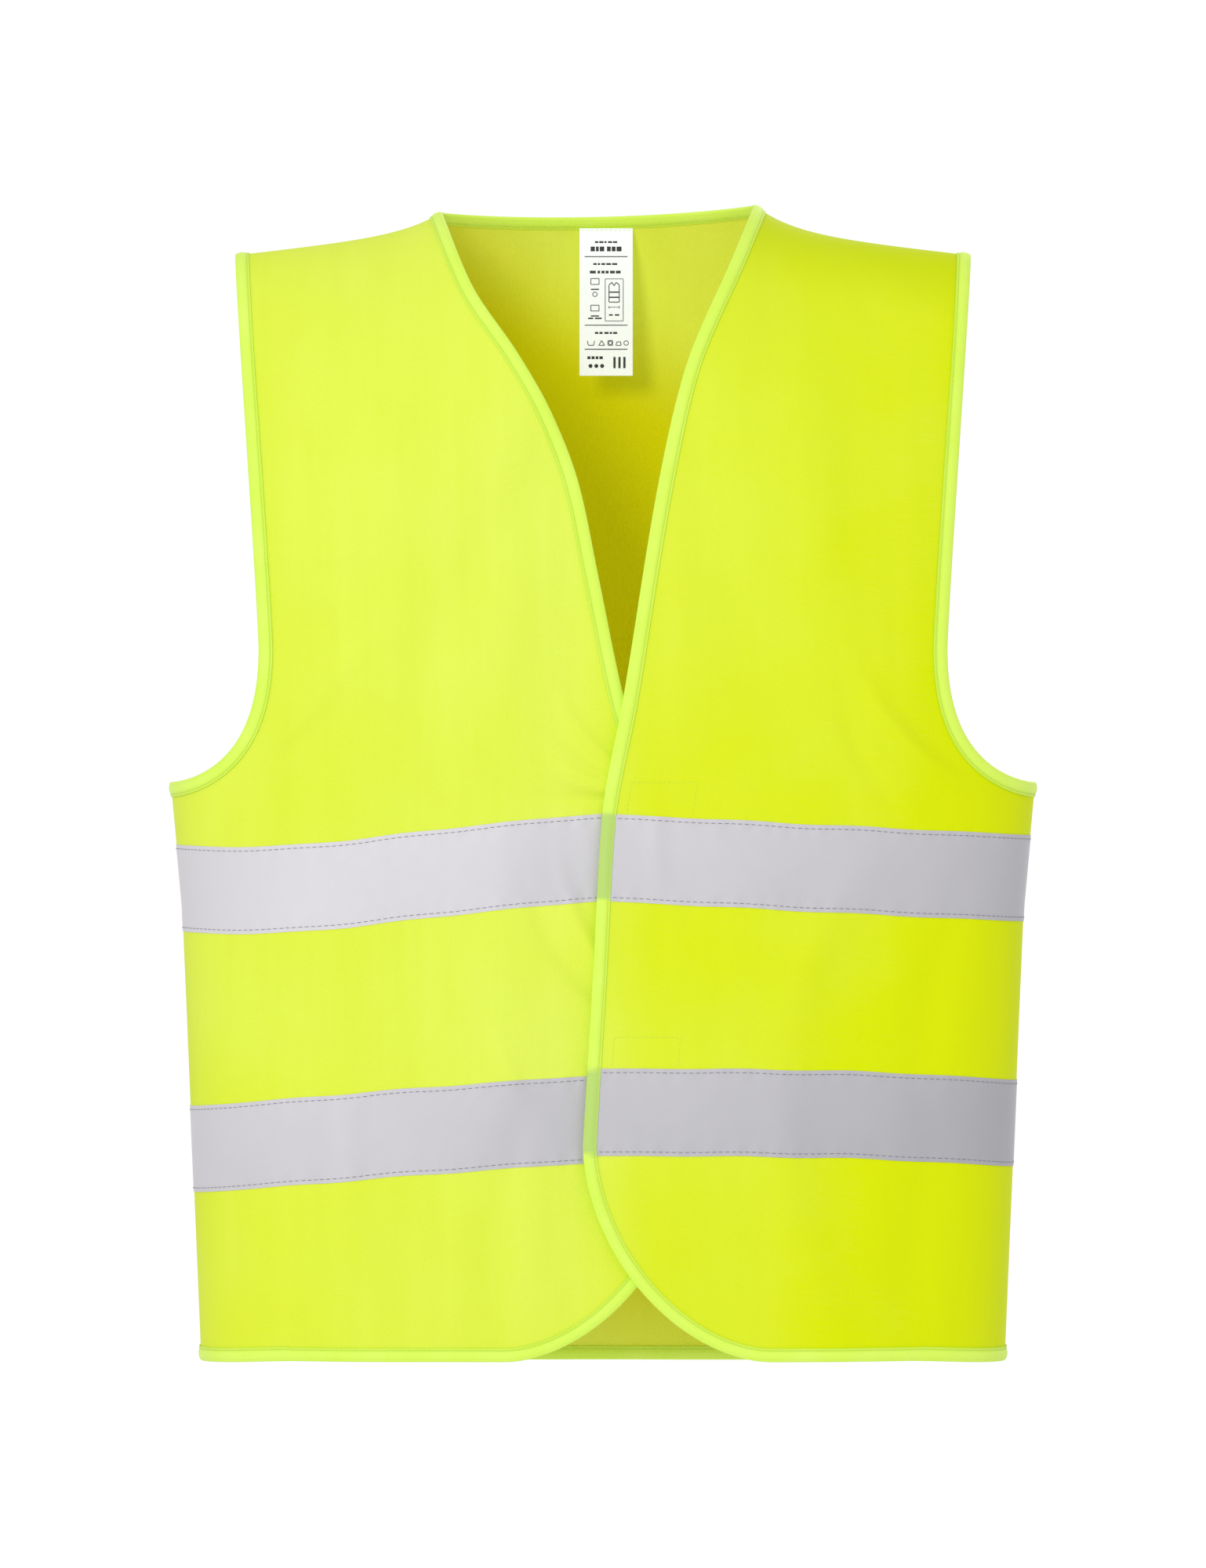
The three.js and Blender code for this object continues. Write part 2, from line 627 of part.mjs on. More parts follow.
function addSide(part, rows) {
  const backEnd = (row, fromEnd) => row.at(part.side > 0 ? -1 - fromEnd : fromEnd);
  const seam = panelLevels.slice(0, underarmRow + 1).map((_, i) => {
    const trim = (spot) => (i === 0 || i === underarmRow ? trimmed(spot, i === 0 ? 1 : -1) : spot);
    return [rows[i].at(-2), rows[i].at(-1), backEnd(backRows[i], 0), backEnd(backRows[i], 1)].map(trim);
  });
  add(`${part.hand}_side_seam`, seamSolid(seam), overlock);

  const edgeOf = (panelRows, fromSide) => [
    ...Array.from({ length: underarmColumns }, (_, i) => fromSide(panelRows[underarmRow], i)),
    ...panelRows.slice(underarmRow).map((row) => fromSide(row, underarmColumns)),
  ];
  const armhole = [...edgeOf(rows, (row, i) => row.at(-1 - i)), ...edgeOf(backRows, backEnd).reverse()];
  const intoCloth = () => new THREE.Vector3(-part.side, 0, -1);
  const stations = stationsAlong(armhole, intoCloth, { closed: true });
  add(`${part.hand}_armhole_binding`, bindingSolid(stations, true), binding);
}

// A seam stops short of the hem and armhole bindings.
function trimmed(spot, way) {
  return place(spot.face, spot.x * (halfWidthAt(spot.h + way * 2 * bindingReach) / halfWidthAt(spot.h)),
    spot.h + way * 2 * bindingReach);
}

addSide(left, leftRows);
addSide(right, rightRows);

for (const part of [left, right]) {
  const bands = Array.from({ length: 7 }, (_, i) => {
    const start = part === left ? leftNeckX : rightNeckX;
    const inner = Math.max(start, neckHalfWidth) + 2 * bindingReach;
    const x = part.side * mix(inner, shoulderTipX - 2 * bindingReach, i / 6);
    const nearTop = shoulderRows.slice(-seamShoulderRows);
    const frontSpots = nearTop.map((level) => place(part.face, x, rowHeight(level, x)));
    const backSpots = nearTop.map((level) => place(back, x, rowHeight(level, x, backTop)));
    return [...frontSpots, ...backSpots.reverse()];
  });
  add(`${part.hand}_shoulder_seam`, seamSolid(bands), overlock);
}

// --- Size label ------------------------------------------------------------------------------
const labelTop = neckHeight - labelDrop;
const labelY = place(back, labelX, labelTop).point.y - labelClearance;
const label = new THREE.Mesh(new THREE.BoxGeometry(labelWidth, labelThickness, labelLength), labelSatin);
label.name = "size_label";
label.position.set(labelX, labelY, labelTop - labelLength / 2);
vest.add(label);

export default vest;
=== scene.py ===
# High visibility vest: cloth, bindings, reflective tapes, closures, seams and label round the frame.
# Metres, +Z up. Heights h are measured up from the hem at the side seams, so z = h - neckHeight.
import math

import bpy
import numpy as np
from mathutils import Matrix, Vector


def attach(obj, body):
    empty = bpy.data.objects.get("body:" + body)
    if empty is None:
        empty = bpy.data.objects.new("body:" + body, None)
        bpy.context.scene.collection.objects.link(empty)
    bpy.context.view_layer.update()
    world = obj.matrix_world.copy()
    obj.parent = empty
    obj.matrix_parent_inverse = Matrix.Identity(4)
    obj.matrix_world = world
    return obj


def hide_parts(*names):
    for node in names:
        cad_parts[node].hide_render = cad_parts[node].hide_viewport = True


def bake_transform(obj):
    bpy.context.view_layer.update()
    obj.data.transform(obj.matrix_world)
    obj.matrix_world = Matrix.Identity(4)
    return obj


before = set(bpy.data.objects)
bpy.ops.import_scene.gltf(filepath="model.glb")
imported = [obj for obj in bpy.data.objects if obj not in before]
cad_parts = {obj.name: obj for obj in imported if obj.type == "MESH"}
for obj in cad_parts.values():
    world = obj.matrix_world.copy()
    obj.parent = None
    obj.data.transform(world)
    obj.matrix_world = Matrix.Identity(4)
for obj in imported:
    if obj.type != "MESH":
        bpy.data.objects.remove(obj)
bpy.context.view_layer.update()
scene = bpy.context.scene
print("frame loaded:", len(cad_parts), "nodes")

# Camera: level, square to the front, from eight metres
cameraSetup = {"distance": 8.0, "height": -0.333, "frameHeight": 0.9091, "sensor": 36.0}
cameraData = bpy.data.cameras.new("camera")
cameraData.sensor_width = cameraSetup["sensor"]
cameraData.lens = cameraSetup["sensor"] * cameraSetup["distance"] / cameraSetup["frameHeight"]
camera = bpy.data.objects.new("camera", cameraData)
camera.location = (0, -cameraSetup["distance"], cameraSetup["height"])
camera.rotation_euler = (math.radians(90), 0, 0)
scene.collection.objects.link(camera)
scene.camera = camera

# ---------- the form that every piece lies on ----------
form = {
    "neckHeight": 0.665,
    "shoulderDrop": 0.0266,
    "underarmHeight": 0.332,
    "chestHalfWidth": 0.250,
    "hemHalfWidth": 0.2325,
    "springHeight": 0.262,  # above this the sides open faster towards the underarm
    "springShare": 0.63,
    "squareness": 3,
    "shoulderRound": 0.175,
    "fullness": 0.6,
    "neckHalfWidth": 0.091,
    "leftNeckX": 0.0885,
    "rightNeckX": 0.0945,
    "collarRise": 0.032,
    "backNeckDip": 0.0032,
    "shoulderTipX": 0.212,
    "neckFlare": 0.013,
    "neckFlareLength": 0.022,
    "armholeInsetX": 0.1965,
    "armholeCurve": 0.078,
    "armholeRoundness": 0.6,
    "armholeTuckIn": 2.1,
    "armholeLean": 1.15,
    "armholeFoot": 0.035,  # share of the curve that the underarm takes up
    "cornerWidth": 0.106,
    "cornerHeight": 0.123,
    "cornerRoundness": 1.8,
    "hemRise": 0.002,
    "hemDrop": 0.0045,
    "hemSettleWidth": 0.060,
    "frontDepth": 0.100,
    "backDepth": 0.095,
    "recess": 0.0055,
    "recessStart": -0.062,
    "recessLength": 0.050,
    "seamGap": 0.0002,
}
neckHeight = form["neckHeight"]
underarm = form["underarmHeight"]
tipHeight = neckHeight - form["shoulderDrop"]
cornerTop = form["hemRise"] + form["cornerHeight"]
chestTop = underarm + form["armholeCurve"]
armholeStart = underarm + form["armholeFoot"] * form["armholeCurve"]
neckMiddle = (form["leftNeckX"] - form["rightNeckX"]) / 2
neckReach = (form["leftNeckX"] + form["rightNeckX"]) / 2


def mix(a, b, t):
    return a + (b - a) * t


def smooth(t):
    t = np.clip(t, 0, 1)
    return t * t * (3 - 2 * t)


def halfWidthAt(h):
    h = np.asarray(h, float)
    hem, chest, spring = form["hemHalfWidth"], form["chestHalfWidth"], form["springHeight"]
    middle = mix(hem, chest, form["springShare"])
    low = mix(hem, middle, np.maximum(0, h) / spring)
    high = mix(middle, chest, np.clip((h - spring) / (underarm - spring), 0, 1))
    return np.where(h < spring, low, high)


def topLine(x):
    out = np.abs(x)
    neck, tip = form["neckHalfWidth"], form["shoulderTipX"]
    inside = neckHeight + form["collarRise"] * (1 - (out / neck) ** 2)
    slope = (form["shoulderDrop"] - form["neckFlare"]) / (tip - neck)
    flare = form["neckFlare"] * np.exp(-np.maximum(0, out - neck) / form["neckFlareLength"])
    return np.where(out < neck, inside, tipHeight + slope * (tip - out) + flare)


def backTop(x):
    across = np.clip((x - neckMiddle) / neckReach, -1, 1)
    return topLine(x) - (form["collarRise"] + form["backNeckDip"]) * (1 - across**2)


def lineThrough(pairs):
    heights, xs = np.array(pairs, float).T
    slopes = np.diff(xs) / np.diff(heights)
    product, total = slopes[:-1] * slopes[1:], slopes[:-1] + slopes[1:]
    inner = np.where(product <= 0, 0, 2 * product / np.where(np.abs(total) < 1e-12, 1, total))
    tangents = np.concatenate([[slopes[0]], inner, [slopes[-1]]])

    def xAt(h):
        h = np.asarray(h, float)
        i = np.clip(np.searchsorted(heights, h, side="right") - 1, 0, len(heights) - 2)
        length = heights[i + 1] - heights[i]
        t = np.clip((h - heights[i]) / length, 0, 1)
        bend = t * (1 - t) ** 2 * length * tangents[i] - t * t * (1 - t) * length * tangents[i + 1]
        return mix(xs[i], xs[i + 1], t * t * (3 - 2 * t)) + bend

    return xAt


def shares(rows, cornerX, neckX):
    middle = [(share * neckHeight, x) for share, x in rows]
    return lineThrough([(cornerTop, cornerX), *middle, (float(topLine(neckX)), neckX)])


# Front edges: share of the neck's height, and x
leftShares = [(0.335, -0.0046), (0.47, 0.0005), (0.573, 0.0127), (0.764, 0.0336)]
leftShares += [(0.856, 0.048), (0.956, 0.076)]
rightShares = [(0.3, 0.044), (0.437, 0.038), (0.474, 0.033), (0.567, 0.012), (0.677, -0.0036)]
rightShares += [(0.758, -0.015), (0.82, -0.031), (0.868, -0.049), (0.929, -0.076)]
leftLine = shares(leftShares, -0.0105, form["leftNeckX"])
rightLine = shares(rightShares, 0.050, -form["rightNeckX"])


def frontEdge(line, side):
    def xAt(h):
        down = np.clip((cornerTop - h) / form["cornerHeight"], 0, 1)
        power = form["cornerRoundness"]
        corner = form["cornerWidth"] * (1 - (1 - down**power) ** (1 / power))
        return line(np.maximum(h, cornerTop)) + side * corner

    return xAt


def armholeX(h):
    curve, inset = form["armholeCurve"], form["armholeInsetX"]
    low = np.clip((h - underarm) / curve, 0, 1)
    high = np.clip((h - underarm - curve) / (tipHeight - underarm - curve), 0, 1)
    tuck = (1 - low ** form["armholeRoundness"]) ** form["armholeTuckIn"]
    lean = high ** form["armholeLean"]
    return inset + (form["chestHalfWidth"] - inset) * tuck + (form["shoulderTipX"] - inset) * lean


def armholeBottom(out):
    low, high = np.full_like(out, underarm), np.full_like(out, armholeStart)
    for _ in range(30):
        middle = (low + high) / 2
        above = armholeX(middle) > out
        low, high = np.where(above, middle, low), np.where(above, high, middle)
    return low


frontFace = {"toward": -1, "depth": form["frontDepth"], "recess": 0, "hem": form["hemRise"]}
leftFront = {**frontFace, "side": 1, "edge": frontEdge(leftLine, 1), "hand": "left"}
rightFront = {**frontFace, "side": -1, "edge": frontEdge(rightLine, -1), "hand": "right"}
rightFront["recess"] = form["recess"]
back = {"toward": 1, "depth": form["backDepth"], "recess": 0, "hem": -form["hemDrop"]}
back.update(side=0, hand="back")

# Tapes: the top edge at the centre front, at the side seam and at the centre back
tapes = {
    "width": 0.050,
    "waver": 0.0004,
    "upper": {"left": (0.315, 0.3025, 1, 0), "right": (0.315, 0.297, 1, 0.005), "back": 0.306},
    "lower": {"left": (0.169, 0.161, 3, 0), "right": (0.165, 0.146, 1.2, 0), "back": 0.160},
}


def tapeTop(name, face, x):
    if face["hand"] == "back":
        side = np.where(x > 0, tapes[name]["left"][1], tapes[name]["right"][1])
        return mix(tapes[name]["back"], side, smooth(np.abs(x) / halfWidthAt(side)))
    front, side, bow, sag = tapes[name][face["hand"]]
    across = np.clip(face["side"] * x / halfWidthAt(side), 0, 1)
    waver = tapes["waver"] * np.sin(x * 96 + front * 40) * np.sin(math.pi * across)
    return mix(front, side, across**bow) - sag * np.sin(math.pi * across**2) + waver


# Creases in millimetres: place, direction in degrees from +X, half length, half width and height
creases = {
    "right": [
        (-8, 340, 152, 34, 3.4, 1.4), (-10, 331, 166, 38, 3.2, 1.3), (-4, 352, 134, 30, 3.8, 1.3),
        (-14, 323, 180, 30, 3.2, -1), (-10, 242, 118, 34, 4.5, 1.5), (-20, 228, 128, 38, 5, -1.4),
        (-56, 170, 112, 26, 7, 1), (-150, 100, 96, 90, 15, 1.8), (-60, 80, 84, 70, 12, -1.4),
        (-175, 462, 4, 50, 4, 0.7), (-165, 380, 52, 50, 8, 1.4), (-190, 345, 40, 35, 6, -1),
        (-120, 560, 78, 90, 20, 1.6), (-75, 450, 60, 110, 18, -1.4),
    ],
    "left": [
        (168, 625, 130, 30, 6, 1.2), (150, 612, 118, 40, 8, -1.2), (165, 366, 128, 40, 6, 1.4),
        (182, 352, 138, 34, 5, 1.2), (150, 345, 118, 34, 6, -1), (195, 338, 150, 26, 4.5, 0.9),
        (30, 296, 95, 40, 6, 0.6), (120, 235, 64, 60, 14, 1.4), (190, 210, 80, 80, 12, -1.4),
        (110, 90, 100, 80, 14, 1.6), (180, 70, 84, 70, 14, -1.4), (120, 500, 98, 110, 22, 1.8),
        (70, 440, 108, 90, 16, -1.2),
    ],
    "back": [
        (-120, 450, 96, 140, 26, 2.4), (110, 430, 84, 150, 26, 2.4), (10, 520, 92, 90, 26, -2),
        (-60, 220, 88, 110, 22, -1.8), (70, 120, 92, 100, 22, 2), (-150, 100, 82, 90, 20, 2),
        (170, 350, 130, 60, 8, 1.6), (-170, 350, 50, 60, 8, 1.6), (160, 600, 60, 50, 10, 1.4),
        (-160, 600, 120, 50, 10, 1.4),
    ],
}
rumpleSetup = {
    "drape": 0.0016,
    "drapeLength": 0.135,
    "drapeTop": 0.45,
    "drapeFade": 0.3,
    "crease": 1.9,
    "creaseBend": 0.12,
    "puckerDepth": 0.00028,
    "puckerLength": 0.013,
    "puckerReach": 0.005,
    "puckerInset": 0.0024,
}


def rumple(face, x, h):
    setup = rumpleSetup
    wave = np.sin(2 * math.pi * (x / setup["drapeLength"] + 0.4 * np.sin(h * 9) + face["depth"] * 3))
    lift = setup["drape"] * wave * smooth((setup["drapeTop"] - h) / setup["drapeFade"])
    for crease in creases[face["hand"]]:
        cx, ch, _, length, width, height = (number / 1000 for number in crease)
        c, s = math.cos(math.radians(crease[2])), math.sin(math.radians(crease[2]))
        along = ((x - cx) * c + (h - ch) * s) / length
        across = ((h - ch) * c - (x - cx) * s + setup["creaseBend"] * length * along**2) / width
        lift = lift + setup["crease"] * height * np.exp(-(along**2) - across**2)
    for name in ("upper", "lower"):
        top = tapeTop(name, face, x)
        for line in (top - setup["puckerInset"], top - tapes["width"] + setup["puckerInset"]):
            wave = np.sin(2 * math.pi * x / setup["puckerLength"] + 2.1 * np.sin(x * 61) + line * 90)
            lift = lift + setup["puckerDepth"] * wave * np.exp(-(((h - line) / setup["puckerReach"]) ** 2))
    return lift


def bulgeAt(face, x, h):
    across = np.minimum(1, np.abs(x) / halfWidthAt(h))
    below = np.clip((topLine(x) - h) / form["shoulderRound"], 0, 1)
    section = np.maximum(0, 1 - across ** form["squareness"]) ** (1 / form["squareness"])
    profile = (1 - (1 - below) ** 2) ** form["fullness"]
    recess = face["recess"] * smooth((x - form["recessStart"]) / form["recessLength"])
    return face["depth"] * section * profile - recess + rumple(face, x, h) * section * profile**2


def unit(v):
    return v / np.maximum(1e-12, np.linalg.norm(v, axis=-1, keepdims=True))


def dot(a, b):
    return np.sum(a * b, axis=-1)


def runAlong(points):
    return np.concatenate([[0], np.cumsum(np.linalg.norm(np.diff(points, axis=0), axis=1))])


def pointOn(face, x, h):
    bulge = np.maximum(form["seamGap"], bulgeAt(face, x, h))
    return np.stack([x + 0 * h, face["toward"] * bulge, h - neckHeight + 0 * x], axis=-1)


def placeOn(face, x, h):
    x, h = np.broadcast_arrays(np.asarray(x, float), np.asarray(h, float))
    step = 2e-5
    limit = halfWidthAt(h) * 0.9995
    sx = np.clip(x, -limit, limit)
    sh = np.minimum(h, topLine(sx) - 6e-5)
    slopeX = (bulgeAt(face, sx + step, sh) - bulgeAt(face, sx - step, sh)) / (2 * step)
    slopeH = (bulgeAt(face, sx, sh + step) - bulgeAt(face, sx, sh - step)) / (2 * step)
    toward = np.full_like(slopeX, face["toward"])
    return pointOn(face, x, h), unit(np.stack([-slopeX, toward, -slopeH], axis=-1))


def turnOf(x, h):
    across = np.clip(x / halfWidthAt(h), -1, 1)
    power = form["squareness"]
    return np.arctan2(across, (1 - np.abs(across) ** power) ** (1 / power))


def xOfTurn(turn, h):
    power = form["squareness"]
    size = (np.abs(np.sin(turn)) ** power + np.abs(np.cos(turn)) ** power) ** (1 / power)
    return halfWidthAt(h) * np.sin(turn) / size


def fallOf(x, h):
    below = (topLine(x) - h) / form["shoulderRound"]
    return np.where(below < 1, np.arccos(np.clip(1 - below, 0, 1)), math.pi / 2 + below - 1)


def spotAt(turn, fall):
    drop = form["shoulderRound"] * np.where(fall < math.pi / 2, 1 - np.cos(fall), 1 + fall - math.pi / 2)
    h = np.full_like(turn, underarm)
    for _ in range(12):
        x = xOfTurn(turn, h)
        h = topLine(x) - drop
    return x, h


def walk(face, x, h, direction, distance, steps=4):
    turn, fall = turnOf(x, h), np.maximum(1e-3, fallOf(x, h))
    inward = -0.02 * np.where(turn < 0, -1.0, 1.0)
    for _ in range(steps):
        x, h = spotAt(turn, fall)
        point, normal = placeOn(face, x, h)
        flat = unit(direction - dot(direction, normal)[..., None] * normal)
        rounding = (pointOn(face, *spotAt(turn + inward, fall)) - point) / inward[..., None]
        down = (pointOn(face, *spotAt(turn, fall + 1e-3)) - point) / 1e-3
        rr, rd, dd = dot(rounding, rounding), dot(rounding, down), dot(down, down)
        rf, df = dot(rounding, flat), dot(down, flat)
        scale = distance / steps / np.maximum(1e-12, rr * dd - rd * rd)
        turn = turn + (rf * dd - df * rd) * scale
        fall = np.maximum(0, fall + (df * rr - rf * rd) * scale)
    return spotAt(turn, fall)


# Cloth map: distance round the section and down from the shoulder, in metres, so a weave keeps its size
mapSetup = {"height": 0.2, "shoulderRun": 0.72}
turnTable = np.linspace(-math.pi / 2, math.pi / 2, 721)
sectionX = xOfTurn(turnTable, np.full_like(turnTable, mapSetup["height"]))
sectionShare = 1 - np.abs(sectionX / halfWidthAt(mapSetup["height"])) ** form["squareness"]
sectionY = np.maximum(0, sectionShare) ** (1 / form["squareness"]) * form["frontDepth"]
sectionRun = runAlong(np.stack([sectionX, sectionY], axis=1))


def clothMap(x, h):
    fall, run, quarter = fallOf(x, h), mapSetup["shoulderRun"], math.pi / 2
    down = form["shoulderRound"] * np.where(fall < quarter, run * fall, run * quarter + fall - quarter)
    return np.stack([np.interp(turnOf(x, h), turnTable, sectionRun), -down], axis=-1)


# ---------- mesh helpers ----------
def meshObject(name, verts, faces, maps=None, attributes=None):
    mesh = bpy.data.meshes.new(name)
    mesh.from_pydata([tuple(v) for v in verts], [], faces)
    mesh.update()
    if maps is not None:
        layer = mesh.uv_layers.new(name="clothMap")
        index = np.empty(len(mesh.loops), int)
        mesh.loops.foreach_get("vertex_index", index)
        layer.data.foreach_set("uv", np.asarray(maps, np.float32)[index].ravel())
    for key, values in (attributes or {}).items():
        layer = mesh.attributes.new(key, "FLOAT", "POINT")
        layer.data.foreach_set("value", np.asarray(values, np.float32))
    mesh.shade_smooth()
    piece = bpy.data.objects.new(name, mesh)
    scene.collection.objects.link(piece)
    return piece


def gridObject(name, points, outward, maps, mask=None, closed=False, attributes=None):
    rows, columns = points.shape[:2]
    mask = np.ones((rows, columns), bool) if mask is None else mask
    index = np.where(mask, np.cumsum(mask.ravel()).reshape(mask.shape) - 1, -1)
    if closed:
        index = np.vstack([index, index[:1]])
    a, b, c, d = index[:-1, :-1], index[:-1, 1:], index[1:, 1:], index[1:, :-1]
    quads = np.stack([a, b, c, d], axis=-1).reshape(-1, 4)
    quads = quads[(quads >= 0).all(axis=1)]
    verts = points[mask]
    corner = verts[quads]
    facing = np.cross(corner[:, 1] - corner[:, 0], corner[:, 3] - corner[:, 0])
    if np.sum(facing * outward[mask][quads[:, 0]]) < 0:
        quads = quads[:, ::-1]
    marks = {key: values[mask] for key, values in (attributes or {}).items()}
    return meshObject(name, verts, quads.tolist(), maps[mask], marks)


def settled(piece):
    graph = bpy.context.evaluated_depsgraph_get()
    final = piece.evaluated_get(graph)
    mesh = bpy.data.meshes.new_from_object(final, preserve_all_data_layers=True, depsgraph=graph)
    piece.modifiers.clear()
    old = piece.data
    piece.data = mesh
    bpy.data.meshes.remove(old)
    mesh.name = piece.name
    return piece


def thicken(piece, thickness, *names):
    for name in names:
        piece.data.materials.append(materials[name])
    modifier = piece.modifiers.new("thickness", "SOLIDIFY")
    modifier.thickness = thickness
    modifier.offset = 0
    modifier.use_quality_normals = True
    modifier.material_offset = len(names) - 1
    settled(piece)
    piece.data.set_sharp_from_angle(angle=math.radians(50))
    return piece


# ---------- shader helpers ----------
class Wire:
    def __init__(self, tree, socket=None):
        self.tree = tree
        self.socket = socket

    def node(self, kind, settings=None, sockets=None, out=0):
        made = self.tree.nodes.new(kind)
        for key, value in (settings or {}).items():
            setattr(made, key, value)
        for key, value in (sockets or {}).items():
            if isinstance(value, Wire):
                self.tree.links.new(value.socket, made.inputs[key])
            else:
                made.inputs[key].default_value = value
        return Wire(self.tree, made.outputs[out])

    def maths(self, operation, first, second=0.0):
        return self.node("ShaderNodeMath", {"operation": operation}, {0: first, 1: second})

    def __add__(self, other):
        return self.maths("ADD", self, other)

    def __radd__(self, other):
        return self.maths("ADD", other, self)

    def __sub__(self, other):
        return self.maths("SUBTRACT", self, other)

    def __rsub__(self, other):
        return self.maths("SUBTRACT", other, self)

    def __mul__(self, other):
        return self.maths("MULTIPLY", self, other)

    def __rmul__(self, other):
        return self.maths("MULTIPLY", other, self)


def linear(red, green, blue):
    values = [c / 255 for c in (red, green, blue)]
    return tuple(c / 12.92 if c <= 0.04045 else ((c + 0.055) / 1.055) ** 2.4 for c in values) + (1.0,)


def blendColours(wire, factor, first, second):
    settings = {"data_type": "RGBA", "clamp_factor": True}
    return wire.node("ShaderNodeMix", settings, {0: factor, 6: first, 7: second}, out=2)


def noise(wire, place, scale, detail, roughness=0.5):
    sockets = {"Vector": place, "Scale": scale, "Detail": detail, "Roughness": roughness}
    return wire.node("ShaderNodeTexNoise", {}, sockets)


def ease(wire, value, low, high):
    sockets = {"Value": value, "From Min": low, "From Max": high}
    return wire.node("ShaderNodeMapRange", {"interpolation_type": "SMOOTHSTEP"}, sockets)


def stretched(wire, place, scale):
    return wire.node("ShaderNodeMapping", {}, {"Vector": place, "Scale": scale})


def relief(wire, height, strength, distance):
    return wire.node("ShaderNodeBump", {}, {"Height": height, "Strength": strength, "Distance": distance})


def parts(wire, vector):
    split = wire.node("ShaderNodeSeparateXYZ", {}, {0: vector}).socket.node
    return [Wire(wire.tree, output) for output in split.outputs]


def surfaceOf(name, build):
    material = bpy.data.materials.new(name)
    material.use_nodes = True
    material.node_tree.nodes.clear()
    wire = Wire(material.node_tree)
    place = wire.node("ShaderNodeTexCoord", out=3)
    shader = wire.node("ShaderNodeBsdfPrincipled", {}, build(wire, place))
    output = wire.tree.nodes.new("ShaderNodeOutputMaterial")
    wire.tree.links.new(shader.socket, output.inputs["Surface"])
    return material


def weaveHeight(wire, pitch):
    cloth = wire.node("ShaderNodeUVMap", {"uv_map": "clothMap"})
    across, along, _ = parts(wire, cloth)
    turn = 2 * math.pi / pitch
    warp = (across * turn).maths("SINE", across * turn)
    weft = (along * turn).maths("SINE", along * (turn * 0.8))
    return cloth, warp * weft * 0.5 + warp * 0.25


def clothSurface(light, shadeTint, glow, shade=None):
    def build(wire, place):
        sideways, _, height = parts(wire, place)
        cloth, weave = weaveHeight(wire, 0.0011)
        broad = noise(wire, place, 5.0, 3.0, 0.55)
        slub = noise(wire, stretched(wire, cloth, (60, 900, 1)), 1.0, 2.0)
        fuzz = noise(wire, place, 1400.0, 1.0)
        # Painted shade: the cloth turns from the lit tint to the shade tint on the +X half past the
        # closure, at both side edges and lower down, where less light falls. The broad noise is random tone
        # that also stands in for the shade of soft folds.
        closing, leftSide = ease(wire, sideways, -0.025, 0.035), ease(wire, sideways, -0.04, -0.20)
        rightSide, down = ease(wire, sideways, 0.05, 0.24), ease(wire, height, -0.05, -0.45)
        paintedShade = closing * 0.62 + leftSide * 0.25 + rightSide * 0.24 + down * 0.16
        streak = noise(wire, stretched(wire, place, (48, 6, 5)), 1.0, 3.0, 0.6)
        factor = paintedShade + broad * 1.2 + slub * 0.2 - 0.64
        colour = blendColours(wire, factor, light, shadeTint)
        colour = blendColours(wire, streak * 0.5 - 0.12, colour, linear(204, 226, 10))
        # Painted shade on the inside: the shade colour fills the middle of the inside back and gives way to
        # the lit colour near the neck (sooner on the +X side) and near the hem, where light reaches in
        if shade:
            upper = ease(wire, height + sideways * 0.6, -0.11, -0.025)
            lower = ease(wire, height, -0.60, -0.66)
            colour = blendColours(wire, upper + lower, shade, colour)
        else:
            # Painted shade: the cloth darkens over the shoulder tops, where the surface turns up away from
            # the light
            shoulder = ease(wire, height + sideways * 0.25, -0.025, 0.02)
            colour = blendColours(wire, shoulder * 0.9, colour, linear(205, 222, 0))
        return {
            "Base Color": colour,
            "Roughness": 0.58 + fuzz * 0.12,
            "Normal": relief(wire, weave * 0.6 + fuzz * 0.5 + slub * 0.4, 0.3, 0.00028),
            "Sheen Weight": 0.02,
            "Sheen Roughness": 0.45,
            # Emission: a painted glow that keeps the shaded cloth bright and saturated
            "Emission Color": colour,
            "Emission Strength": glow,
            "Specular IOR Level": 0.08,
        }

    return build


def bindingSurface(wire, place):
    _, weave = weaveHeight(wire, 0.0009)
    over = wire.node("ShaderNodeAttribute", {"attribute_name": "overTape"}, out=2)
    # Painted shade in the stitch groove and along the lip where the binding meets the cloth
    shadeInGroove = wire.node("ShaderNodeAttribute", {"attribute_name": "grooveShade"}, out=2)
    fine = noise(wire, place, 700.0, 2.0)
    plain = blendColours(wire, noise(wire, place, 38.0, 3.0), linear(205, 240, 70), linear(219, 246, 104))
    withGrooveShade = blendColours(wire, shadeInGroove, plain, linear(176, 210, 20))
    shaded = blendColours(wire, over * 0.8, withGrooveShade, linear(172, 204, 112))
    return {
        "Base Color": shaded,
        "Roughness": 0.5 + fine * 0.15,
        "Normal": relief(wire, weave + fine * 0.8, 0.3, 0.0003),
        "Sheen Weight": 0.12,
        "Specular IOR Level": 0.3,
        # Emission: a painted glow that lifts the binding as if lit from the front
        "Emission Color": shaded,
        "Emission Strength": 0.13,
    }


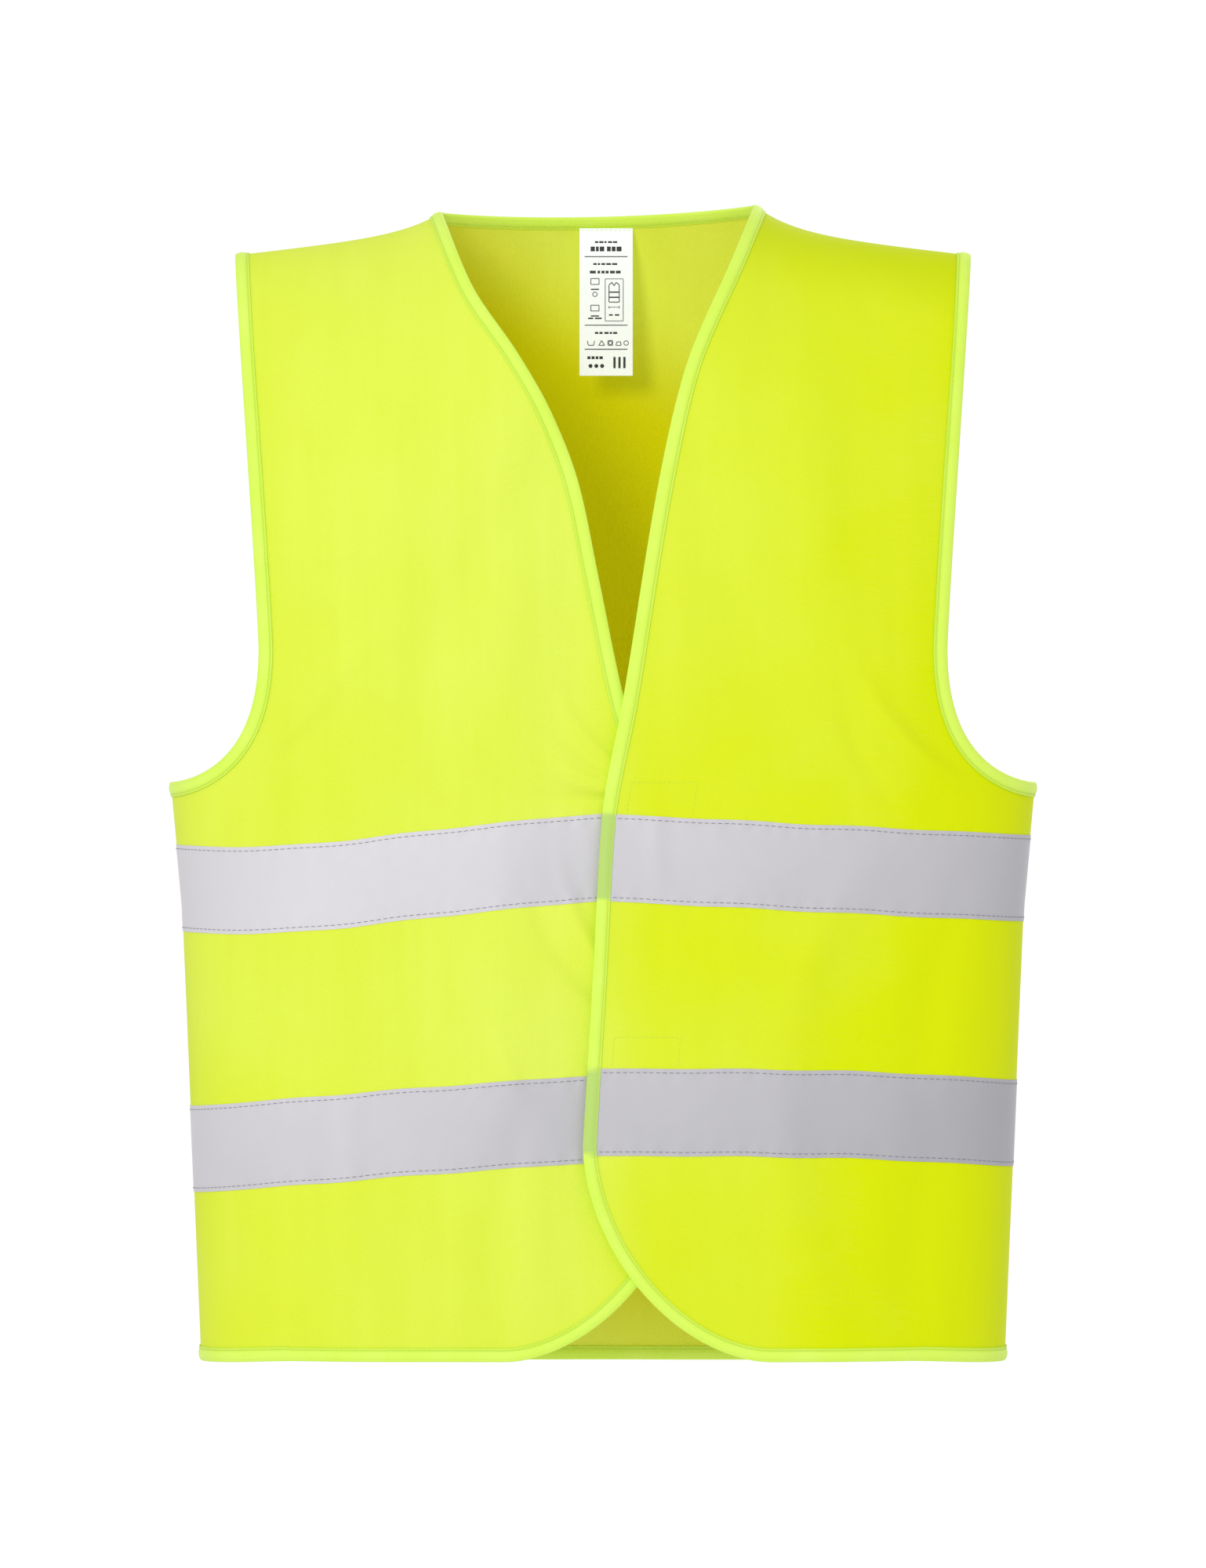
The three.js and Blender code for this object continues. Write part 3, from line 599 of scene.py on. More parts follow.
def tapeSurface(wire, place):
    beads = wire.node("ShaderNodeTexVoronoi", {}, {"Vector": place, "Scale": 2600.0})
    broad = noise(wire, place, 11.0, 4.0, 0.6)
    crinkle = noise(wire, place, 120.0, 3.0)
    sideways, _, height = parts(wire, place)
    # Painted shade: the tape goes from the lit grey at the top and towards -X to the shaded grey lower down
    # and towards +X, as the light falls
    paintedShade = sideways * 1.2 - (height + 0.4) * 1.5
    paintedTapeShade = wire.node("ShaderNodeMapRange", {}, {"Value": paintedShade, "From Min": -0.2, "From Max": 0.45})
    litGrey, shadedGrey = linear(220, 217, 222), linear(181, 180, 186)
    return {
        "Base Color": blendColours(wire, paintedTapeShade + broad * 0.3 - 0.15, litGrey, shadedGrey),
        "Metallic": 0.10 + broad * 0.08,
        "Roughness": 0.52 + crinkle * 0.12,
        "Normal": relief(wire, beads * 0.4 + crinkle * 0.7, 0.18, 0.0004),
        "Sheen Weight": 0.25,
        "Sheen Roughness": 0.3,
    }


def threadSurface(first, second):
    def build(wire, place):
        sockets = {"Vector": place, "Scale": 900.0, "Distortion": 1.0}
        twist = wire.node("ShaderNodeTexWave", {"bands_direction": "DIAGONAL"}, sockets, out=1)
        colour, bump = blendColours(wire, twist, first, second), relief(wire, twist, 0.4, 0.0001)
        return {"Base Color": colour, "Roughness": 0.6 + twist * 0.1, "Normal": bump}

    return build


def patchSurface(first, second, scale):
    def build(wire, place):
        sockets = {"Vector": place, "Scale": scale, "Smoothness": 0.6}
        curls = wire.node("ShaderNodeTexVoronoi", {"feature": "SMOOTH_F1"}, sockets)
        fuzz = noise(wire, place, scale * 1.7, 4.0)
        return {
            "Base Color": blendColours(wire, curls * 0.8 + fuzz * 0.4, first, second),
            "Roughness": 0.82 + fuzz * 0.1,
            "Normal": relief(wire, curls + fuzz * 0.6, 0.8, 0.0006),
            "Sheen Weight": 0.3,
        }

    return build


def labelSurface(wire, place):
    sockets = {"Vector": place, "Scale": 700.0}
    ribs = wire.node("ShaderNodeTexWave", {"bands_direction": "Z"}, sockets, out=1)
    tone = noise(wire, place, 60.0, 3.0)
    return {
        "Base Color": blendColours(wire, tone, linear(246, 248, 255), linear(240, 243, 252)),
        "Roughness": 0.45 + tone * 0.1,
        "Normal": relief(wire, ribs, 0.15, 0.0002),
        # Emission: a painted bluish-white glow that keeps the label white against the yellow light bounced
        # from the cloth
        "Emission Color": (0.84, 0.88, 1.0, 1.0),
        "Emission Strength": 0.22,
    }


def inkSurface(wire, place):
    spread = noise(wire, place, 1500.0, 2.0)
    return {
        "Base Color": blendColours(wire, spread, linear(26, 26, 28), linear(60, 60, 64)),
        "Roughness": 0.5 + spread * 0.2,
    }


surfaces = {
    # Cloth tints: the lit tint is paler and bluer with painted sheen, the second tint is the painted shade
    # colour, and the last number is the strength of a painted glow
    "cloth": ("fluorescentCloth", clothSurface(linear(226, 244, 96), linear(219, 233, 0), 0.07)),
    # Inside faces: the same cloth with its own lit tint and a painted shade colour for the inside of the
    # vest
    "inside": (
        "fluorescentInside",
        clothSurface(linear(240, 250, 100), linear(238, 246, 80), 0.05, linear(225, 220, 0)),
    ),
    "binding": ("edgeBinding", bindingSurface),
    "tape": ("reflectiveTape", tapeSurface),
    "greyThread": ("greyThread", threadSurface(linear(108, 107, 120), linear(146, 145, 156))),
    "limeThread": ("limeThread", threadSurface(linear(196, 226, 60), linear(226, 246, 110))),
    "loop": ("loopPile", patchSurface(linear(206, 228, 60), linear(232, 244, 120), 900.0)),
    "hook": ("hookBase", patchSurface(linear(196, 220, 60), linear(222, 238, 110), 700.0)),
    "label": ("labelSatin", labelSurface),
    "ink": ("labelInk", inkSurface),
}
materials = {key: surfaceOf(name, build) for key, (name, build) in surfaces.items()}
print("materials ready:", len(materials))

# ---------- cloth panels ----------
clothSetup = {
    "thickness": 0.00045,
    "mainColumns": 132,
    "underarmColumns": 18,
    "neckColumns": 54,
    "shoulderColumns": 38,
}


def levelsUp():
    steps = np.radians(np.linspace(0, 90, 40))
    corner = (form["cornerHeight"] * (1 - np.cos(steps))) / (1 - form["hemRise"] / cornerTop)
    body = np.linspace(corner[-1], armholeStart, 96)[1:]
    scoop = armholeStart + (chestTop - armholeStart) * np.linspace(0, 1, 30)[1:] ** 1.6
    fall = np.radians(np.arange(0, 88, 1.7))[::-1]
    crown = tipHeight - form["shoulderRound"] * (1 - np.cos(fall))
    chest = np.linspace(chestTop, crown[0], 15)[1:-1]
    return np.concatenate([corner, body, scoop, chest, crown])


def heightOnRow(face, level, x):
    top = backTop(x) if face["hand"] == "back" else topLine(x)
    follow = smooth((level - chestTop) / (tipHeight - chestTop))
    hem = face["hem"] * smooth((halfWidthAt(0) - np.abs(x)) / form["hemSettleWidth"])
    return level + follow * (top - tipHeight) + hem * np.clip(1 - level / cornerTop, 0, 1)


def rowSpots(face, level, turns, heightAt=None):
    heightAt = heightAt or (lambda x: heightOnRow(face, level[:, None], x))
    x = xOfTurn(turns, np.full_like(turns, underarm))
    for _ in range(12):
        x = xOfTurn(turns, heightAt(x))
    return x, heightAt(x)


def turnWhere(face, level, start, xAt):
    x = np.full_like(level, start)
    for _ in range(40):
        x = xAt(heightOnRow(face, level, x))
    return turnOf(x, heightOnRow(face, level, x))


levels = levelsUp()
underarmRow = int(np.argmin(np.abs(levels - armholeStart)))
underarmTurn = float(turnOf(armholeX(armholeStart), armholeStart))


def outerTurn(side, level):
    along = turnWhere(leftFront, level, side * form["armholeInsetX"], lambda h: side * armholeX(h))
    return np.where(level <= armholeStart + 1e-9, side * underarmTurn, along)


def underarmSpots(face, side, level):
    count = clothSetup["underarmColumns"]
    turns = side * mix(underarmTurn, math.pi / 2, np.linspace(0, 1, count + 1)[1:])
    turns = np.broadcast_to(turns, (len(level), count))
    x, h = rowSpots(face, level, turns)
    row = level == levels[underarmRow]
    h = np.where(row[:, None], armholeBottom(np.abs(x)), h)
    x = np.where(row[:, None], xOfTurn(turns, h), x)
    mask = np.broadcast_to((level <= levels[underarmRow])[:, None], x.shape)
    return x, h, mask


def frontGrid(face):
    start = turnWhere(face, levels, 0.0, face["edge"])
    end = outerTurn(face["side"], levels)
    t = np.linspace(0, 1, clothSetup["mainColumns"])
    t = mix(t, smooth(t), 0.25)
    x, h = rowSpots(face, levels, mix(start[:, None], end[:, None], t))
    ux, uh, um = underarmSpots(face, face["side"], levels)
    mask = np.hstack([np.ones_like(x, bool), um])
    return {"x": np.hstack([x, ux]), "h": np.hstack([h, uh]), "mask": mask}


def backGrid():
    shoulders = []
    for side, neck in ((-1, -form["rightNeckX"]), (1, form["leftNeckX"])):
        outer = outerTurn(side, levels)
        inner = turnOf(neck, heightOnRow(back, levels, np.full_like(levels, neck)))
        t = np.linspace(0, 1, clothSetup["shoulderColumns"])
        shoulders.append(rowSpots(back, levels, mix(outer[:, None], inner[:, None], t)))
    swing = np.linspace(-math.pi / 2, math.pi / 2, clothSetup["neckColumns"])[1:-1]
    mx = np.broadcast_to(neckMiddle + neckReach * np.sin(swing), (len(levels), len(swing)))
    mh = heightOnRow(back, levels[:, None], mx)
    rightSide, leftSide = underarmSpots(back, -1, levels), underarmSpots(back, 1, levels)
    (rx, rh), (lx, lh) = shoulders
    x = np.hstack([rightSide[0][:, ::-1], rx, mx, lx[:, ::-1], leftSide[0]])
    h = np.hstack([rightSide[1][:, ::-1], rh, mh, lh[:, ::-1], leftSide[1]])
    full = np.ones_like(rx, bool)
    mask = np.hstack([rightSide[2][:, ::-1], full, np.ones_like(mx, bool), full, leftSide[2]])
    return {"x": x, "h": h, "mask": mask}


def clothPiece(name, face, grid):
    points, normals = placeOn(face, grid["x"], grid["h"])
    piece = gridObject(name, points, normals, clothMap(grid["x"], grid["h"]), grid["mask"])
    return thicken(piece, clothSetup["thickness"], "cloth", "inside")


grids = {"left": frontGrid(leftFront), "right": frontGrid(rightFront), "back": backGrid()}
leftPanel = clothPiece("leftFront", leftFront, grids["left"])
rightPanel = clothPiece("rightFront", rightFront, grids["right"])
backPanel = clothPiece("backPanel", back, grids["back"])
print("panels:", [len(p.data.polygons) for p in (leftPanel, rightPanel, backPanel)])

# ---------- stitches ----------
stitchSetup = {"Seed": 7, "Tilt": 0.12}


def newTree(name, numbers):
    group = bpy.data.node_groups.new(name, "GeometryNodeTree")
    floats = {number: "Float" for number in numbers}
    kinds = {"Geometry": "Geometry", **floats, "Seed": "Int", "Thread": "Material"}
    for socket, kind in kinds.items():
        group.interface.new_socket(socket, in_out="INPUT", socket_type="NodeSocket" + kind)
    group.interface.new_socket("Geometry", in_out="OUTPUT", socket_type="NodeSocketGeometry")
    start = group.nodes.new("NodeGroupInput")
    return Wire(group), {socket.name: Wire(group, socket) for socket in start.outputs if socket.name}


def endTree(wire, dots, instance, rotation, thread, soft):
    sockets = {"Points": dots, "Instance": instance, "Rotation": rotation}
    rows = wire.node("GeometryNodeInstanceOnPoints", {}, sockets)
    real = wire.node("GeometryNodeRealizeInstances", {}, {"Geometry": rows})
    real = wire.node("GeometryNodeSetShadeSmooth", {}, {"Geometry": real}) if soft else real
    done = wire.node("GeometryNodeSetMaterial", {}, {"Geometry": real, "Material": thread})
    wire.tree.links.new(done.socket, wire.tree.nodes.new("NodeGroupOutput").inputs[0])
    return wire.tree


def turned(wire, rotation, angle):
    spin = wire.node("ShaderNodeCombineXYZ", {}, {"Z": angle})
    sockets = {"Rotation": rotation, "Rotate By": spin}
    return wire.node("FunctionNodeRotateRotation", {"rotation_space": "LOCAL"}, sockets)


def grow(piece, group, values):
    modifier = piece.modifiers.new(group.name, "NODES")
    modifier.node_group = group
    names = {item.name: item.identifier for item in group.interface.items_tree if item.in_out == "INPUT"}
    for key, value in values.items():
        modifier[names[key]] = value
    return settled(piece)


def stitchTree():
    wire, given = newTree("stitchLine", ("Pitch", "Stitch Length", "Thread Thickness", "Tilt", "Slant"))
    path = wire.node("GeometryNodeMeshToCurve", {}, {"Mesh": given["Geometry"]})
    sockets = {"Curve": path, "Length": given["Pitch"]}
    dots = wire.node("GeometryNodeResampleCurve", {"mode": "LENGTH"}, sockets)
    ball = wire.node("GeometryNodeMeshUVSphere", {}, {"Segments": 6, "Rings": 5, "Radius": 0.5})
    thickness = given["Thread Thickness"]
    sockets = {"X": given["Stitch Length"], "Y": thickness, "Z": thickness}
    size = wire.node("ShaderNodeCombineXYZ", {}, sockets)
    shaped = wire.node("GeometryNodeTransform", {}, {"Geometry": ball, "Scale": size})
    tangent = wire.node("GeometryNodeInputTangent")
    above = wire.node("GeometryNodeInputNamedAttribute", {"data_type": "FLOAT_VECTOR"}, {"Name": "above"})
    along = wire.node("FunctionNodeAlignRotationToVector", {"axis": "X"}, {"Vector": tangent})
    upright = {"axis": "Z", "pivot_axis": "X"}
    level = wire.node("FunctionNodeAlignRotationToVector", upright, {"Rotation": along, "Vector": above})
    sockets = {2: 0.0, 3: 1.0, "Seed": given["Seed"]}
    random = wire.node("FunctionNodeRandomValue", {"data_type": "FLOAT"}, sockets, out=1)
    rotation = turned(wire, level, (random - 0.5) * given["Tilt"] + given["Slant"])
    return endTree(wire, dots, shaped, rotation, given["Thread"], True)


stitches = stitchTree()


def sewn(name, runs, thread, pitch, length, thickness, slant=0.0):
    verts, edges, above = [], [], []
    for points, normals in runs:
        first = len(verts)
        verts += [tuple(p) for p in points]
        above += [tuple(n) for n in normals]
        edges += [(first + i, first + i + 1) for i in range(len(points) - 1)]
    mesh = bpy.data.meshes.new(name)
    mesh.from_pydata(verts, edges, [])
    layer = mesh.attributes.new("above", "FLOAT_VECTOR", "POINT")
    layer.data.foreach_set("vector", np.asarray(above, np.float32).ravel())
    piece = bpy.data.objects.new(name, mesh)
    scene.collection.objects.link(piece)
    values = {"Pitch": pitch, "Stitch Length": length, "Thread Thickness": thickness, "Slant": slant}
    return grow(piece, stitches, {**stitchSetup, **values, "Thread": materials[thread]})


def evenPath(face, x, h, step):
    points = pointOn(face, x, h)
    run = runAlong(points)
    even = np.linspace(0, run[-1], max(3, int(run[-1] / step) + 1))
    return np.interp(even, run, x), np.interp(even, run, h)


# ---------- bindings ----------
# Profile: distance in from the edge, and height off the cloth's middle
bindingSetup = {
    "step": 0.0026,
    "thickness": 0.0003,
    "profile": [
        (0.0088, 0.00090),
        (0.0081, 0.00098),
        (0.0071, 0.00078),
        (0.0062, 0.00100),
        (0.0048, 0.00142),
        (0.0034, 0.00150),
        (0.0018, 0.00138),
        (0.0005, 0.00108),
    ],
    "roll": [(0.0005, 0.00080), (0.0010, 0.00035)],
    # Painted shade amount for each profile row, darkening the stitch groove and the lip against the cloth
    # on both faces
    "grooveShade": (0.50, 0.20, 0.60, 0.15, 0, 0, 0, 0.10),
    "share": {"front": 0.76, "side": 0.80, "sideFrom": 0.18, "more": 0.08},  # of the widths above
    "seamIn": 0.0070,
    "seamLift": 0.00088,
    "stitch": (0.0030, 0.0021, 0.00032),  # pitch, length and thread, here and in the other pieces
}


def overTape(face, x, h):
    amount = np.zeros_like(x)
    for name in ("upper", "lower"):
        top = tapeTop(name, face, x)
        amount = np.maximum(amount, smooth((top - h) / 0.001) * smooth((h - top + tapes["width"]) / 0.001))
    return amount


def bindingShare(x, h):
    share = bindingSetup["share"]
    middle = smooth((h - 0.29) / 0.08) * smooth((0.60 - h) / 0.10)
    return np.where(np.abs(x) > share["sideFrom"], share["side"], share["front"]) + share["more"] * middle


def edgeRibs(face, x, h, toward, slopes=None):
    setup = bindingSetup
    points, normals = placeOn(face, x, h)
    along = unit(np.gradient(points, axis=0) if slopes is None else slopes)
    square = unit(np.cross(normals, along))
    square = square * np.sign(dot(square, toward(x, h)))[:, None]
    share = bindingShare(x, h)
    outerRows, innerRows, tint = [], [], []
    for reach, lift in setup["profile"]:
        wx, wh = walk(face, x, h, square, reach * share)
        p, n = placeOn(face, wx, wh)
        outerRows.append(p + n * lift)
        innerRows.append(p - n * lift)
        tint.append(overTape(face, wx, wh))
    out = -unit(square - dot(square, normals)[:, None] * normals)
    rollUp = [points + out * o + normals * n for o, n in setup["roll"]]
    rollDown = [points + out * o - normals * n for o, n in reversed(setup["roll"])]
    rolled = len(rollUp + rollDown)
    tints = np.stack([*tint, *[overTape(face, x, h)] * rolled, *tint[::-1]], axis=1)
    shadeAmounts = [*setup["grooveShade"], *[0] * rolled, *setup["grooveShade"][::-1]]
    sp, sn = placeOn(face, *walk(face, x, h, square, setup["seamIn"] * share))
    lift = setup["seamLift"] + setup["thickness"] / 2
    return {
        "ring": np.stack([*outerRows, *rollUp, *rollDown, *innerRows[::-1]], axis=1),
        "overTape": tints,
        "grooveShade": np.broadcast_to(np.array(shadeAmounts, float), tints.shape),
        "seams": [(sp + sn * lift, sn), (sp - sn * lift, -sn)],
    }


def bindingPiece(name, ribs, closed=False):
    ring, *tints = (np.concatenate([r[key] for r in ribs]) for key in ("ring", "overTape", "grooveShade"))
    centre = ring.mean(axis=1, keepdims=True)
    girth, run = runAlong(ring[len(ring) // 2]), runAlong(centre[:, 0])
    maps = np.stack(np.broadcast_arrays(girth[None, :], run[:, None]), axis=-1)
    marks = dict(zip(("overTape", "grooveShade"), tints))
    piece = gridObject(name, ring, ring - centre, maps, closed=closed, attributes=marks)
    thicken(piece, bindingSetup["thickness"], "binding")
    seams = []
    for way in (0, 1):
        points, normals = (np.concatenate([r["seams"][way][k] for r in ribs]) for k in (0, 1))
        if closed:
            points, normals = np.vstack([points, points[:1]]), np.vstack([normals, normals[:1]])
        seams.append((points, normals))
    return piece, sewn(name + "Stitches", seams, "limeThread", *bindingSetup["stitch"])


def steady(dx, dz):
    return lambda x, h: np.broadcast_to(np.array([dx, 0.0, dz]), x.shape + (3,))


def evenEdge(face, *strips):
    grid = grids[face["hand"]]
    x, h = (np.concatenate([grid[key][strip] for strip in strips]) for key in ("x", "h"))
    return evenPath(face, x, h, bindingSetup["step"])


def frontBinding(face):
    def inward(x, h):
        low = smooth((cornerTop - h) / form["cornerHeight"])
        return np.stack([face["side"] * (1 - low), 0 * x, 0.02 + low], axis=-1)

    x, h = evenEdge(face, (slice(None, None, -1), 0), (0, slice(1, None)))
    return bindingPiece(face["hand"] + "FrontBinding", [edgeRibs(face, x, h, inward)])


def backBinding(name, row, columns, up):
    x, h = evenEdge(back, (row, columns))
    return bindingPiece(name, [edgeRibs(back, x, h, steady(0, up))])


def armholeBinding(face):
    columns, count = clothSetup["mainColumns"], clothSetup["underarmColumns"]
    rows = slice(underarmRow, None)
    strips = [(underarmRow, slice(None, columns - 1, -1)), (rows, columns - 1)]
    behind = [(underarmRow, slice(None, -count - 1, -1)), (rows, -count - 1)]
    if face["side"] < 0:
        behind = [(underarmRow, slice(0, count)), (rows, count)]
    fx, fh = evenEdge(face, *strips)
    bx, bh = evenEdge(back, *behind)
    runs = [(face, fx[:-1], fh[:-1]), (back, bx[:0:-1], bh[:0:-1])]
    loop = np.concatenate([pointOn(f, x, h) for f, x, h in runs])
    slopes = np.gradient(np.concatenate([loop[-2:], loop, loop[:2]]), axis=0)[2:-2]
    ribs, first = [], 0
    for f, x, h in runs:
        line = np.gradient(np.cumsum(slopes[first : first + len(x)], axis=0), axis=0)
        ribs.append(edgeRibs(f, x, h, steady(-face["side"], -1), line))
        first += len(x)
    return bindingPiece(face["hand"] + "ArmholeBinding", ribs, closed=True)


neckFrom = clothSetup["underarmColumns"] + clothSetup["shoulderColumns"] - 1
neckColumns = slice(neckFrom, neckFrom + clothSetup["neckColumns"])
bindings = {
    "left": (*frontBinding(leftFront), *armholeBinding(leftFront)),
    "right": (*frontBinding(rightFront), *armholeBinding(rightFront)),
    "hem": backBinding("backHemBinding", 0, slice(None), 1),
    "neck": backBinding("backNeckBinding", -1, neckColumns, -1),
}
print("bindings sewn")

# ---------- reflective tapes ----------
tapeSetup = {
    "lift": 0.00046,
    "thickness": 0.00026,
    "rows": 26,
    "frontColumns": 170,
    "backColumns": 280,
    "tuck": 0.0045,  # how far a tape end reaches under the binding, in from the edge
    "seamInset": 0.0023,
    "seamLift": 0.0001,
    "tack": ((0, -0.0001, 0.0004), (-0.001, -0.0001, -0.0004)),
    "stitch": (0.0038, 0.0031, 0.00038),
}


def tapeSpots(face, name, down):
    def line(x):
        return tapeTop(name, face, x) - down

    if face["hand"] == "back":
        turns = np.linspace(-math.pi / 2, math.pi / 2, tapeSetup["backColumns"])
    else:
        start = float(face["edge"](float(line(0.0)))) + face["side"] * tapeSetup["tuck"]
        first = float(turnOf(start, line(start)))
        turns = np.linspace(first, face["side"] * math.pi / 2, tapeSetup["frontColumns"])
    return rowSpots(face, levels[:1], turns[None, :], line)


def tapePiece(name, face):
    setup = tapeSetup
    rows = [tapeSpots(face, name, down) for down in np.linspace(0, tapes["width"], setup["rows"])]
    x, h = np.vstack([r[0] for r in rows]), np.vstack([r[1] for r in rows])
    points, normals = placeOn(face, x, h)
    label = f"{name}Tape{face['hand'].capitalize()}"
    piece = gridObject(label, points + normals * setup["lift"], normals, clothMap(x, h))
    thicken(piece, setup["thickness"], "tape")
    seams = []
    for down in (setup["seamInset"], tapes["width"] - setup["seamInset"]):
        x, h = tapeSpots(face, name, down)
        p, n = placeOn(face, x[0, 2:-1], h[0, 2:-1])
        seams.append((p + n * (setup["lift"] + setup["thickness"] / 2 + setup["seamLift"]), n))
        seams.append((p - n * (clothSetup["thickness"] / 2 + setup["seamLift"]), -n))
        if face["hand"] == "left":
            seams += [(p[2:7] + np.array(shift), n[2:7]) for shift in setup["tack"]]
    return piece, sewn(label + "Stitches", seams, "greyThread", *setup["stitch"])


faces = {"left": leftFront, "right": rightFront, "back": back}
tapePieces = {(name, hand): tapePiece(name, faces[hand]) for name in ("upper", "lower") for hand in faces}
print("tapes sewn")

# ---------- hook and loop ----------
patchSetup = {
    "Loop": {"width": 0.042, "height": 0.070, "lift": -0.0010, "face": leftFront, "kind": "Loop"},
    "Hook": {"width": 0.020, "height": 0.050, "lift": 0.0012, "face": rightFront, "kind": "Hook"},
    "thickness": 0.0006,
    "crown": (0.0002, 0.004),
    "reach": 0.011,
    "border": (0.05, 0.03),
    "seamLift": 0.00025,
    "showAbove": 0.0015,
    "stitch": (0.0028, 0.0021, 0.00034),
}


def patchSpots(setup, name, across, up):
    h = tapes[name]["left"][0] - tapes["width"] + setup["height"] * up
    reach = patchSetup["reach"] if setup["face"] is leftFront else -patchSetup["reach"] - setup["width"]
    return setup["face"]["edge"](h) + reach + setup["width"] * across, h


def patchPiece(name, setup):
    across, up = np.meshgrid(np.linspace(0, 1, 15), np.linspace(0, 1, 24))
    x, h = patchSpots(setup, name, across, up)
    points, normals = placeOn(setup["face"], x, h)
    nearSide, nearEnd = np.minimum(across, 1 - across), np.minimum(up, 1 - up)
    rim = np.minimum(nearSide * setup["width"], nearEnd * setup["height"])
    way = np.sign(setup["lift"])
    lift = setup["lift"] + way * patchSetup["crown"][0] * smooth(rim / patchSetup["crown"][1])
    label = f"{name}{setup['kind']}Patch"
    piece = gridObject(label, points + normals * lift[..., None], normals, np.stack([x, h], axis=-1))
    thicken(piece, patchSetup["thickness"], setup["kind"].lower())
    (a, b), t = patchSetup["border"], np.linspace(0, 4, 121)
    alongX = np.interp(t, range(5), (a, 1 - a, 1 - a, a, a))
    alongH = np.interp(t, range(5), (b, b, 1 - b, 1 - b, b))
    bx, bh = patchSpots(setup, name, alongX, alongH)
    p, n = placeOn(setup["face"], bx, bh)
    high = abs(setup["lift"]) + patchSetup["thickness"] / 2 + patchSetup["seamLift"]
    runs = [(p + n * way * high, n * way)]
    if setup["kind"] == "Loop":
        shown = bh > tapeTop(name, leftFront, bx) + patchSetup["showAbove"]
        for part in np.split(np.arange(len(bx)), np.where(np.diff(shown.astype(int)))[0] + 1):
            if shown[part[0]] and len(part) > 2:
                runs.append((p[part] + n[part] * (clothSetup["thickness"] / 2 + 0.00008), n[part]))
    return piece, sewn(label + "Stitches", runs, "limeThread", *patchSetup["stitch"])


def pileTree():
    wire, given = newTree("patchPile", ("Density", "Curl Radius", "Thread Thickness", "Arc"))
    sockets = {"Mesh": given["Geometry"], "Density": given["Density"], "Seed": given["Seed"]}
    dots = wire.node("GeometryNodeDistributePointsOnFaces", {}, sockets)
    stand = Wire(wire.tree, dots.socket.node.outputs["Rotation"])
    sockets = {"Resolution": 6, "Radius": given["Curl Radius"], "Sweep Angle": given["Arc"]}
    arc = wire.node("GeometryNodeCurveArc", {"mode": "RADIUS"}, sockets)
    upright = wire.node("GeometryNodeTransform", {}, {"Geometry": arc, "Rotation": (math.pi / 2, 0, 0)})
    sockets = {"Resolution": 3, "Radius": given["Thread Thickness"]}
    thread = wire.node("GeometryNodeCurvePrimitiveCircle", {}, sockets)
    sockets = {"Curve": upright, "Profile Curve": thread, "Fill Caps": True}
    curl = wire.node("GeometryNodeCurveToMesh", {}, sockets)
    sockets = {2: 0.0, 3: 6.28, "Seed": given["Seed"]}
    random = wire.node("FunctionNodeRandomValue", {"data_type": "FLOAT"}, sockets, out=1)
    return endTree(wire, dots, curl, turned(wire, stand, random), given["Thread"], False)


pile = pileTree()
pileSetup = {
    "Loop": {"Density": 620000.0, "Thread Thickness": 0.00006, "Arc": math.radians(200), "Seed": 3},
    "Hook": {"Density": 480000.0, "Thread Thickness": 0.00008, "Arc": math.radians(140), "Seed": 5},
    "curl": 0.0005,
    "lift": 0.0002,
    "inset": (0.1, 0.06),
}


def pilePiece(name, setup):
    a, b = pileSetup["inset"]
    across, up = np.meshgrid(np.linspace(a, 1 - a, 9), np.linspace(b, 1 - b, 14))
    x, h = patchSpots(setup, name, across, up)
    points, normals = placeOn(setup["face"], x, h)
    way = np.sign(setup["lift"])
    high = abs(setup["lift"]) + patchSetup["thickness"] / 2 + pileSetup["lift"]
    label = f"{name}{setup['kind']}Pile"
    piece = gridObject(label, points + normals * way * high, normals * way, np.stack([x, h], axis=-1))
    values = {"Curl Radius": pileSetup["curl"], "Thread": materials["limeThread"]}
    return grow(piece, pile, {**pileSetup[setup["kind"]], **values})


patchPieces = {}
for name in ("upper", "lower"):
    for kind in ("Loop", "Hook"):
        setup = patchSetup[kind]
        patchPieces[(name, kind.lower())] = (*patchPiece(name, setup), pilePiece(name, setup))
print("patches ready")

# ---------- seams inside the sides and shoulders ----------
seamSetup = {
    "halfWidth": 0.0032,
    "drop": 0.0006,
    "crown": 0.0006,
    "thickness": 0.0009,
    "inset": 0.010,
    "hemInset": 0.0105,
    "stitch": (0.0021, 0.0052, 0.0004, 1.05),
}


def seamPiece(name, spine, inward):
    setup = seamSetup
    inner = np.broadcast_to(np.array(inward, float), spine.shape)
    offsets = np.linspace(-1, 1, 7)
    sideways = offsets[:, None] * setup["halfWidth"] * np.array([0.0, 1.0, 0.0])
    points = spine[:, None] + sideways[None]
    points = points + inner[:, None] * (setup["drop"] + setup["crown"] * (1 - offsets**2))[None, :, None]
    maps = np.stack(np.broadcast_arrays(sideways[None, :, 1], runAlong(spine)[:, None]), axis=-1)
    piece = gridObject(name, points, np.broadcast_to(inner[:, None], points.shape), maps)
    thicken(piece, setup["thickness"], "inside")
    path = spine + inner * (setup["drop"] + setup["crown"] + setup["thickness"] / 2 + 0.0001)
    return piece, sewn(name + "Thread", [(path, inner)], "limeThread", *setup["stitch"])


